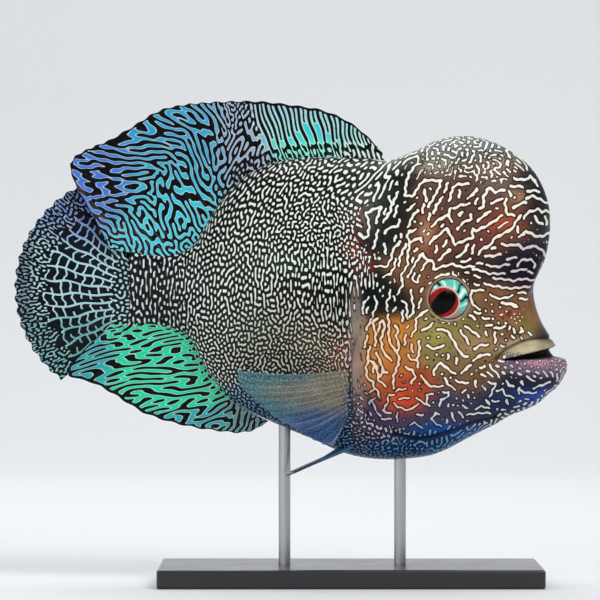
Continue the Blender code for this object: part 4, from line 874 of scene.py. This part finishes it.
class Fin:
    """The grids of a rayed sheet: its middle, its two faces, and where each point is on it."""

    def __init__(self, bases, tips, root_half, bow, per_gap, rows, sink=0.03, scallop=0.6,
                 ripple=0.35):
        """Rays from bases to tips, per_gap columns from ray to ray, rows from root to margin."""
        gaps = len(bases) - 1
        place = np.arange(gaps * per_gap + 1) / per_gap
        bases, tips = (smooth(np.arange(gaps + 1), ends, place) for ends in (bases, tips))
        between = place - np.round(place)
        t = np.linspace(-sink, 1.0, rows + 1)[None, :]
        run = tips - bases
        reach = np.linalg.norm(run, axis=1)
        self.reach = reach[:, None]
        notch = scallop * np.sin(np.pi * np.abs(between)) ** 2
        tips = tips - run / reach[:, None] * notch[:, None]
        run = tips - bases
        side = np.stack([-run[:, 2], np.zeros(len(place)), run[:, 0]], axis=1)
        middle = bases + run / 2 + bow * side
        s = t[..., None]
        points = ((1 - s) ** 2 * bases[:, None] + 2 * s * (1 - s) * middle[:, None]
                  + s ** 2 * tips[:, None])
        normals = np.cross(np.gradient(points, axis=0), np.gradient(points, axis=1))
        normals /= np.linalg.norm(normals, axis=2, keepdims=True)
        grown = np.clip(t, 0.0, 1.0)
        wave = ripple * grown * np.sin(place[:, None] * 1.1 + 2.0 * grown)
        points = points + normals * wave[..., None]
        width = np.linalg.norm(np.gradient(points, axis=0), axis=2) * per_gap
        off = np.abs(np.abs(between)[:, None] - RAY_FORK * ease(0.4, 0.95, t)) * width
        self.ridge = bell(off, RIDGE_WIDTH)
        fade = 1.0 - grown
        half = FIN_MEMBRANE * (0.6 + 0.4 * fade) + (root_half - FIN_MEMBRANE) * np.abs(fade) ** 6
        half = half + self.ridge * FIN_RIDGE * (0.25 + 0.75 * fade)
        self.points, self.normals, self.half, self.width = points, normals, half, width
        self.place = np.broadcast_to(place[:, None], half.shape)
        self.t = np.broadcast_to(t, half.shape)
        self.x, self.z = points[..., 0], points[..., 2]

    def piece(self, name, finish, paints, **fields):
        """The closed sheet as a painted object, with its fields on both faces and its bake map."""
        fields["ground"], fields["line"] = airbrush(self.x, self.z, paints)
        columns, rows = self.half.shape
        size = columns * rows
        front = self.points + self.normals * self.half[..., None]
        back = self.points - self.normals * self.half[..., None]
        index = np.arange(size).reshape(columns, rows)
        quads = np.stack([index[:-1, :-1], index[1:, :-1], index[1:, 1:], index[:-1, 1:]], axis=-1)
        quads = quads.reshape(-1, 4)
        loop = np.concatenate([index[:-1, 0], index[-1, :-1], index[:0:-1, -1], index[0, :0:-1]])
        onward = np.roll(loop, -1)
        rim = np.stack([onward, loop, loop + size, onward + size], axis=-1)
        faces = np.concatenate([quads, quads[:, ::-1] + size, rim])
        both = {key: np.concatenate([f.reshape(size, -1)] * 2) for key, f in fields.items()}
        points = np.concatenate([front.reshape(-1, 3), back.reshape(-1, 3)])
        made = mesh_piece(name, points, faces, **both)
        across, out = index // rows / columns, index % rows / rows
        place = np.stack([across.ravel() * 0.49, out.ravel()], axis=-1)
        place = np.concatenate([place, place + (0.5, 0.0)])
        corners = place[faces]
        turn = np.arange(len(rim)) / len(rim)
        step = 1.0 / len(rim)
        corners[-len(rim):] = np.stack([
            np.stack([np.full_like(turn, u), turn + add_on], axis=-1)
            for u, add_on in ((0.993, step), (0.993, 0.0), (0.999, 0.0), (0.999, step))], axis=1)
        bake_map(made, corners)
        made.data.materials.append(finish)
        return made


DORSAL_PAINTS = {
    "dorsal front": (-10, 190, 22, 8, "deep", "aqua"),
    "front margin": (-14, 200, 24, 5, "deep", "azure"),
    "front glow": (-16, 182.5, 12, 4, "deep", "mint"),
    "dorsal foot": (6, 181, 13, 4.5, "ink", "foam"),
    "dorsal middle": (-46, 184, 9, 16, "night", "dusk"),
    "dorsal rear": (-72, 180, 20, 18, "abyss", "azure"),
    "dorsal tip": (-106, 174, 14, 12, "abyss", "cobalt"),
    "inner rear": (-72, 160, 14, 16, "abyss", "cyan"),
}
DORSAL_STROKES = (
    (2, 188, 12, 118, 2.2), (-14, 192, 12, 112, 2.2), (-30, 190, 9, 98, 2.1), (-44, 184, 9, 64, 2),
    (-52, 172, 8, 66, 1.9), (-58, 191, 7, 130, 2), (-62, 176, 8, 117, 2), (-68, 162, 8, 110, 1.9),
    (-78, 167, 5, 95, 1.9), (-72, 198, 8, 158, 2), (-88, 189, 10, 168, 2.1),
    (-100, 177, 14, 180, 2.3), (-94, 166, 8, 176, 2.1), (-84, 152, 8, 112, 1.7),
)
bases, tips = midline_rays(0.0, DORSAL_BASE, DORSAL_GUIDES, DORSAL_RAYS, -3.0)
dorsal = Fin(bases, tips, 1.3, 0.05, 12, 150)
rear = ease(-48.0, -64.0, dorsal.x)
foot = ease(7.5, 3.5, dorsal.t * dorsal.reach) * (1.0 - rear)
waist = bell(dorsal.x + 46.0, 8.0)
margin = ease(0.8, 0.95, dorsal.t)
angle, stretch = flow(dorsal.x, dorsal.z, DORSAL_STROKES)
stretch = 1.0 + (stretch - 1.0) * (1.0 - 0.5 * foot)
wave = 3.1 + 0.5 * rear - 0.5 * waist
bias = 0.2 - (0.26 - 0.2 * margin) * rear - 0.45 * foot - 0.45 * waist
mark = grow_marks(dorsal.points, wave, angle, stretch, bias, seed=5)
# In front the paint follows the rays: a black line on each lane's edge, a short one between.
# Lanes for each gap between rays, a black line's width in mm, and the mark's rise for 1 mm
DORSAL_LANES, LANE_LINE, LANE_SLOPE = 1.75, 0.58, 0.62
lane = dorsal.place * DORSAL_LANES + 0.1 * np.sin(dorsal.t * 9.0 + dorsal.place * 2.3)
lane_width = dorsal.width / DORSAL_LANES
from_edge = np.abs(lane - np.round(lane)) * lane_width
from_middle = np.abs(lane - np.floor(lane) - 0.5) * lane_width
to_margin = (1.0 - dorsal.t) * dorsal.reach
split = 0.2 + 0.45 * np.abs(np.sin(np.floor(lane) * 12.99))
short_line = np.hypot(from_middle, np.maximum(to_margin - split * dorsal.reach, 0.0)) + 0.2
lanes = (np.minimum.reduce([from_edge, short_line, to_margin - 0.4]) - LANE_LINE) * LANE_SLOPE
laned = ease(-45.0, -39.0, dorsal.x + 0.4 * (dorsal.z - 196.0)) * (1.0 - foot)
mark = mark * (1.0 - laned) + np.clip(lanes, -1.0, 1.0) * laned
mark -= 1.6 * ease(0.98, 1.0, dorsal.t)
fin_finish = marked_skin("painted_rayed_membrane", 0.05, -0.7, 0.06, 0.34, 0.1, core_at=0.35)
dorsal_piece = dorsal.piece("dorsal_sheet", fin_finish, DORSAL_PAINTS, mark=mark)
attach(dorsal_piece, "root")
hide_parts("dorsal_fin")

CAUDAL_PAINTS = {
    "upper lobe": (-108, 160, 14, 16, "abyss", "cobalt"),
    "middle": (-110, 128, 18, 14, "abyss", "ice"),
    "stalk end": (-94, 124, 6, 18, "ink", "ice"),
    "lower lobe": (-112, 98, 16, 12, "deep", "lagoon"),
    "margin": (-141, 128, 5, 40, "abyss", "denim"),
}
bases, tips = caudal_rays()
caudal = Fin(bases, tips, 2.0, 0.0, 12, 120, sink=0.02, scallop=1.0)
# Short bars cross the rays, in steps from lane to lane, and make a net of pale lines: lanes for
# each gap between rays, mm from bar to bar, and half of a line's width
NET_LANES, NET_PITCH, NET_LINE = 0.78, 4.0, 0.42
reach = caudal.t * CAUDAL_RADIUS
lane = caudal.place * NET_LANES + 0.1 * np.sin(reach * 0.4 + caudal.place)
strip = np.floor(lane)
across = lane - strip
shift = 3.7 * np.sin(strip * 12.99 + 1.3)
bar = reach / NET_PITCH + shift + 0.35 * (across - 0.5) ** 2 + 0.1 * np.sin(lane * 5.3)
bar_number = np.floor(bar)
# A whim from 0 to 1 for each bar, by which some stop short of the next ray
whim = np.sin(strip * 78.23 + bar_number * 37.72) * 43758.5
whim = whim - np.floor(whim)
stub = (whim < 0.3) & (np.abs(across - np.round(whim * 7.0) % 2.0) > 0.55)
ray_off = np.abs(lane - np.round(lane)) / NET_LANES * caudal.width
bar_off = np.abs(bar - bar_number - 0.5) * NET_PITCH + 2.0 * stub
net = 1.0 - np.minimum(ray_off, bar_off) / NET_LINE
# Grown dots take its place at the root and along the margin
along_rays = np.arctan2(tips[:, 2] - bases[:, 2], tips[:, 0] - bases[:, 0])
angle = np.interp(caudal.place, np.arange(CAUDAL_RAYS), np.unwrap(along_rays))
dots = grow_marks(caudal.points, 3.0, angle, np.full(angle.shape, 1.15), -0.42, seed=7)
edge_band = ease(0.66, 0.8, caudal.t + 0.04 * np.sin(caudal.place * 3.0))
root_band = 1.0 - ease(0.06, 0.2, caudal.t)
loose = np.maximum(edge_band, root_band)
mark = np.clip(net, -1.0, 0.5) * (1.0 - loose) + dots * loose
caudal_piece = caudal.piece("caudal_sheet", fin_finish, CAUDAL_PAINTS, mark=mark)
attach(caudal_piece, "root")
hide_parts("caudal_fin")

ANAL_PAINTS = {
    "base": (-70, 96, 16, 7, "pine", "jade"),
    "middle": (-84, 82, 16, 9, "pine", "jade"),
    "front": (-42, 66, 8, 6, "pine", "haze"),
    "low edge": (-70, 67, 18, 4, "deep", "lagoon"),
    "tip": (-112, 89, 9, 7, "abyss", "lagoon"),
}
ANAL_STROKES = (
    (-82, 92, 14, 8, 2.4), (-74, 78, 12, 10, 2.4), (-60, 74, 9, 28, 2.1), (-46, 68, 9, 50, 1.8),
    (-106, 87, 12, 18, 2.5),
)
bases, tips = midline_rays(1.0, ANAL_BASE, ANAL_GUIDES, ANAL_RAYS, -3.5)
anal = Fin(bases, tips, 1.2, -0.04, 14, 110)
angle, stretch = flow(anal.x, anal.z, ANAL_STROKES)
front = ease(-58.0, -44.0, anal.x)
mark = grow_marks(anal.points, 3.0 - 0.4 * front, angle, stretch, 0.3 - 0.4 * front, seed=11)
# A pale line runs along the root, and the margin is dark
mark = np.maximum(mark, 0.7 - np.abs(anal.t - 0.035) / 0.012) - 1.8 * ease(0.955, 0.985, anal.t)
anal_piece = anal.piece("anal_sheet", fin_finish, ANAL_PAINTS, mark=mark)
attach(anal_piece, "root")
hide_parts("anal_fin")

# Paired fins
# The pectorals are thinner and less painted than the others, so their rays show, and stand off
# the flanks. The pelvics are short and folded, with the first ray drawn out to a thread.
PECTORAL_GUIDES = np.array((
    (0.00, -47, 90), (0.15, -46.5, 84.5), (0.30, -42, 79.5), (0.45, -35.5, 74), (0.60, -29.5, 69),
    (0.75, -22, 64.5), (0.88, -14, 60.5), (1.00, -7.5, 58),
))
PECTORAL_RAYS, PECTORAL_BASE = 13, ((-1.5, 90.0), (-2.0, 69.5))
PECTORAL_SPREAD, PECTORAL_LOW_SPREAD, PECTORAL_OFF = 15.0, 0.55, 1.7
# How deep the paired fins' roots lie in the body
ROOT_SUNK = 2.2
# The pelvics' guides: place along the root, and x, y and z of the tip
PELVIC_GUIDES = np.array((
    (0.00, -26.5, -13, 45.5), (0.35, -24, -10.5, 46.5), (0.70, -19.5, -7.5, 48.5),
    (1.00, -14.5, -5, 50.5),
))
PELVIC_RAYS, PELVIC_BASE, PELVIC_OFF = 6, ((3.0, -10.5), (-4.0, -5.0)), 1.2


def skin_foot(a, b, axes, allowed):
    """The skin's point and outward normal nearest to two of its coordinates."""
    off = (bare_grid[..., axes[0]] - a) ** 2 + (bare_grid[..., axes[1]] - b) ** 2
    index = np.unravel_index(np.argmin(np.where(allowed, off, 1e9)), off.shape)
    return bare_grid[index], normal[index]


def side_rays(guides, count, base, off, on_side):
    """Bases and tips of a paired fin's rays, rooted on the right flank or on the belly."""
    places, ends = ray_ends(guides, count)
    bases, tips = [], []
    low_half = np.arange(SKIN_STEPS + 1) > SKIN_STEPS * 0.55
    for place, end in zip(places, ends):
        a, b = (base[0][k] + place * (base[1][k] - base[0][k]) for k in (0, 1))
        if on_side:
            foot, out = skin_foot(a, b, (0, 2), True)
            spread = PECTORAL_SPREAD * (1.0 + (PECTORAL_LOW_SPREAD - 1.0) * place)
            tips.append((end[0], foot[1] - spread, end[1]))
        else:
            foot, out = skin_foot(a, b, (0, 1), low_half)
            tips.append(tuple(end))
        bases.append(foot + out * (off - ROOT_SUNK))
    return np.array(bases), np.array(tips)


def clear_membrane(name, roughness, alpha):
    """Thin tinted resin: airbrushed colour, lighter rays and a faint grain."""
    # Where alpha is below 1 the body shows through, as it does through a real pectoral
    made, tree, shader = open_material(
        name, IOR=1.45, Coat_Weight=0.3, Coat_Roughness=0.15, Alpha=alpha, Roughness=roughness)
    ground, line = field(tree, "ground", "Color"), field(tree, "line", "Color")
    # Clouds of 4 mm make the film look uneven in thickness
    cloud = noise(tree, 260.0, 4.0)
    film = scaled_colour(tree, ground, ramp(tree, cloud, 0.3, 0.7, 0.7, 1.25))
    share = ramp(tree, field(tree, "ray"), 0.15, 0.9, most=0.8, soft=True)
    feed(shader, "Base Color", mix(tree, share, film, line))
    raise_by(tree, shader, cloud, 0.15, 0.0002)
    return made


def paired(fin, name, node, finish, paints):
    """Both fins of a pair, the left one a mirror of the right."""
    jointed = fin.ridge * (0.8 + 0.2 * np.sin(fin.t * 150.0))
    for side in ("right", "left"):
        made = fin.piece(f"{name}_{side}", finish, paints, ray=jointed)
        if side == "left":
            made.data.transform(Matrix.Scale(-1.0, 4, (0.0, 1.0, 0.0)))
            made.data.flip_normals()
        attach(made, "root")
        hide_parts(f"{node}_{side}")


PECTORAL_PAINTS = {
    "root": (-8, 82, 9, 9, "drab", "tan"),
    "top": (-32, 88, 16, 5, "teal", "haze"),
    "middle": (-24, 80, 12, 6, "drab", "tan"),
    "far low": (-34, 76, 12, 6, "teal", "haze"),
    "low": (-16, 68, 14, 6, "sea", "denim"),
}
PELVIC_PAINTS = {
    "root": (-4, 54, 6, 5, "navy", "denim"),
    "tip": (-22, 47, 9, 5, "plum", "grape"),
}
bases, tips = side_rays(PECTORAL_GUIDES, PECTORAL_RAYS, PECTORAL_BASE, PECTORAL_OFF, True)
pectoral = Fin(bases, tips, 1.1, 0.08, 8, 90, sink=0.0, scallop=0.8, ripple=0.5)
clear_film = clear_membrane("clear_rayed_membrane", 0.35, 0.5)
paired(pectoral, "pectoral_sheet", "pectoral_fin", clear_film, PECTORAL_PAINTS)
bases, tips = side_rays(PELVIC_GUIDES, PELVIC_RAYS, PELVIC_BASE, PELVIC_OFF, False)
pelvic = Fin(bases, tips, 0.7, 0.0, 8, 70, sink=0.0, scallop=0.6, ripple=0.2)
dark_film = clear_membrane("dark_rayed_membrane", 0.35, 1.0)
paired(pelvic, "pelvic_sheet", "pelvic_fin", dark_film, PELVIC_PAINTS)

# Eyes
# Taxidermist's glass eyes: a clear dome over a painted iris with an oval pupil, set in the skin's
# socket, with the turquoise crescent that the iris leaves free towards the brow.
IRIS_CENTRE, IRIS_RADIUS = (-2.8, -1.5), 6.1
PUPIL_RADII, PUPIL_TILT = (4.0, 5.75), -42.0
EYE_AROUND, EYE_RINGS = 120, 72
# The dome shines only faintly, so that the lamps don't wash out the iris behind it
glass, tree, shader = open_material("painted_glass_eye", IOR=1.5, Roughness=0.25,
                                    Specular_IOR_Level=0.08, Coat_Weight=0.05, Coat_Roughness=0.02)
pupil, iris, bars, rim, crescent = (
    field(tree, name) for name in ("pupil", "iris", "bars", "rim", "crescent"))
# Flecks of 1.4 mm break up the iris and the crescent, like the threads of a real iris
fleck = noise(tree, 700.0, 4.0)
cyan = mix(tree, fleck, paint("2f8a80"), paint("8ff0dc"))
lit = mix(tree, ramp(tree, bars, -0.25, -0.7), cyan, paint("dcfff4"))
barred = mix(tree, ramp(tree, bars, 0.35, 0.75), lit, paint("0b2b28"))
white = mix(tree, crescent, paint("a58f86"), barred)
pink = mix(tree, ramp(tree, iris, 1.08, 1.13), paint("d9b3a6"), white)
red = mix(tree, fleck, paint("3c0508"), paint("c4202a"))
ringed = mix(tree, ramp(tree, iris, 0.97, 1.02), red, pink)
seen = mix(tree, ramp(tree, pupil, 0.97, 1.05), paint("040303"), ringed)
feed(shader, "Base Color", mix(tree, ramp(tree, rim, 0.93, 1.0), seen, paint("3a2a22")))

turns = np.arange(EYE_AROUND) * 2 * np.pi / EYE_AROUND
out_angle, turn_angle = np.meshgrid(np.linspace(0.0, np.pi, EYE_RINGS), turns, indexing="ij")
eye_x = EYE_RADII[0] * np.sin(out_angle) * np.cos(turn_angle)
eye_z = EYE_RADII[1] * np.sin(out_angle) * np.sin(turn_angle)
eye_out = EYE_RADII[2] * np.cos(out_angle)
forward = np.array((1.0, 0.0, 0.0)) - eye_normal * eye_normal[0]
forward /= np.linalg.norm(forward)
upward = np.cross(forward, eye_normal)
upward *= np.sign(upward[2])
eye_points = (eye_foot - eye_normal * EYE_DEPTH + eye_x[..., None] * forward
              + eye_z[..., None] * upward + eye_out[..., None] * eye_normal)
px, pz = eye_x - IRIS_CENTRE[0], eye_z - IRIS_CENTRE[1]
from_iris, bar_angle = np.hypot(px, pz), np.arctan2(pz, px)
c, s = math.cos(math.radians(PUPIL_TILT)), math.sin(math.radians(PUPIL_TILT))
wavy_bars = np.sin(bar_angle * 11.0 + 0.9 * np.sin(from_iris * 1.1))
fields = {
    "iris": from_iris / IRIS_RADIUS,
    "bars": wavy_bars * (0.7 + 0.3 * np.sin(bar_angle * 4.0)),
    "crescent": ease(-0.6, -0.3, bar_angle) * (1.0 - ease(2.3, 2.6, bar_angle)),
    "pupil": np.hypot((px * c + pz * s) / PUPIL_RADII[0], (pz * c - px * s) / PUPIL_RADII[1]),
    "rim": np.hypot(eye_x, eye_z) / (EYE_RADII[0] * 0.91),
}
eye_faces = ring_faces(EYE_RINGS, EYE_AROUND)
ring_of, place_of = np.divmod(eye_faces, EYE_AROUND)
wrap = (place_of == 0) & (place_of.max(axis=1, keepdims=True) > EYE_AROUND / 2)
eye_turn = np.where(wrap, EYE_AROUND, place_of) / EYE_AROUND
eye_places = np.stack([eye_turn, ring_of / EYE_RINGS], axis=-1)
turned = np.cross(upward, forward) @ eye_normal
for side, hand in (("right", 1.0), ("left", -1.0)):
    order = slice(None, None, 1 if turned * hand > 0.0 else -1)
    points = eye_points * (1.0, hand, 1.0)
    eye = mesh_piece(f"glass_eye_{side}", points, eye_faces[:, order], **fields)
    bake_map(eye, eye_places[:, order])
    eye.data.materials.append(glass)
    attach(eye, "root")
    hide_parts(f"eye_{side}")

# Stand
# A laser-cut acrylic plate with polished edges, and two brushed stainless rods pressed into it.
plate, tree, shader = open_material(
    "black_cast_acrylic", IOR=1.49, Coat_Weight=0.3, Coat_Roughness=0.05)
# Deep black with a satin shine: clouds of 17 mm leave the polish a little uneven
dust = noise(tree, 60.0, 6.0)
black = scaled_colour(tree, paint("1b1b1d")[:3], ramp(tree, dust, least=0.7, most=1.3))
feed(shader, "Base Color", black)
feed(shader, "Roughness", ramp(tree, dust, least=0.22, most=0.4))
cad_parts["stand_base"].material_slots[0].material = plate

steel, tree, shader = open_material("brushed_stainless_steel", Metallic=1.0)
# Brushed along the rod: grain 0.3 mm wide and 25 mm long
place = add(tree, "TexCoord"), "Object"
long_grain = add(tree, "Mapping", {"Vector": place, "Scale": (3000.0, 3000.0, 40.0)}), "Vector"
brush = add(tree, "TexNoise", {"Vector": long_grain, "Scale": 1.0, "Detail": 3.0}), "Fac"
grey = scaled_colour(tree, paint("c2c2c4")[:3], ramp(tree, brush, least=0.8, most=1.1))
feed(shader, "Base Color", grey)
feed(shader, "Roughness", ramp(tree, brush, least=0.22, most=0.42))
for name in ("stand_rod_front", "stand_rod_rear"):
    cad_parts[name].material_slots[0].material = steel

# Studio
# A plain pale floor that curves up into the backdrop, soft lights and the photograph's view.
CAMERA_DISTANCE = 1.8
VIEW_CENTRE = (-0.021, 0.1189)
VIEW_WIDTH = 0.252
# The sweep's line in metres: the floor, a quarter round of this radius from this y, the backdrop
SWEEP_FROM, SWEEP_RADIUS, SWEEP_WIDTH = 1.2, 0.8, 6000.0
sweep_line = [(-2.5, 0.0), (SWEEP_FROM, 0.0)]
sweep_line += [(SWEEP_FROM + SWEEP_RADIUS * math.sin(a), SWEEP_RADIUS - SWEEP_RADIUS * math.cos(a))
               for a in np.linspace(0.1, math.pi / 2, 14)]
sweep_line += [(SWEEP_FROM + SWEEP_RADIUS, 3.5)]
sweep_points = [
    (x * SWEEP_WIDTH, y * 1000.0, z * 1000.0) for y, z in sweep_line for x in (-0.5, 0.5)]
sweep_faces = [(2 * i, 2 * i + 1, 2 * i + 3, 2 * i + 2) for i in range(len(sweep_line) - 1)]
floor = mesh_piece("studio_floor", sweep_points, sweep_faces)
floor_paint, tree, shader = open_material("matt_paper_sweep", Roughness=0.8)
# Fibres of 3 mm keep the paper from looking like a flat colour
fibre = noise(tree, 300.0, 4.0)
pale_paper = scaled_colour(tree, paint("e2e4e6")[:3], ramp(tree, fibre, least=0.96))
feed(shader, "Base Color", pale_paper)
floor.data.materials.append(floor_paint)

world = bpy.data.worlds.new("studio")
world.use_nodes = True
world.node_tree.nodes["Background"].inputs["Color"].default_value = paint("eef1f5")
world.node_tree.nodes["Background"].inputs["Strength"].default_value = 0.28
bpy.context.scene.world = world
# Soft area lights: place, target and size in metres, and power in watts
LIGHTS = {
    "key": ((0.7, -1.1, 1.2), (0.0, 0.0, 0.12), 0.9, 17.0),
    "fill": ((-1.0, -1.0, 0.6), (0.0, 0.0, 0.12), 1.2, 6.0),
    "rim": ((-0.3, 0.9, 1.1), (0.0, 0.0, 0.12), 0.8, 4.0),
    "backdrop": ((0.0, 0.7, 2.4), (0.0, 1.7, 0.3), 1.6, 30.0),
}
for name, (place, target, size, power) in LIGHTS.items():
    lamp = bpy.data.lights.new(name, "AREA")
    lamp.size, lamp.energy = size, power
    holder = bpy.data.objects.new(name, lamp)
    holder.location = place
    aim = Vector(target) - Vector(place)
    holder.rotation_euler = aim.to_track_quat("-Z", "Y").to_euler()
    bpy.context.scene.collection.objects.link(holder)

# The photograph's view, square to the fish's right side
camera_data = bpy.data.cameras.new("camera")
camera_data.sensor_width = 36.0
camera_data.lens = 36.0 * CAMERA_DISTANCE / VIEW_WIDTH
camera_data.clip_start, camera_data.clip_end = 0.05, 20.0
camera = bpy.data.objects.new("camera", camera_data)
camera.location = (VIEW_CENTRE[0], -CAMERA_DISTANCE, VIEW_CENTRE[1])
camera.rotation_euler = (math.radians(90.0), 0.0, 0.0)
bpy.context.scene.collection.objects.link(camera)
bpy.context.scene.camera = camera
bpy.context.scene.view_settings.view_transform = "Standard"
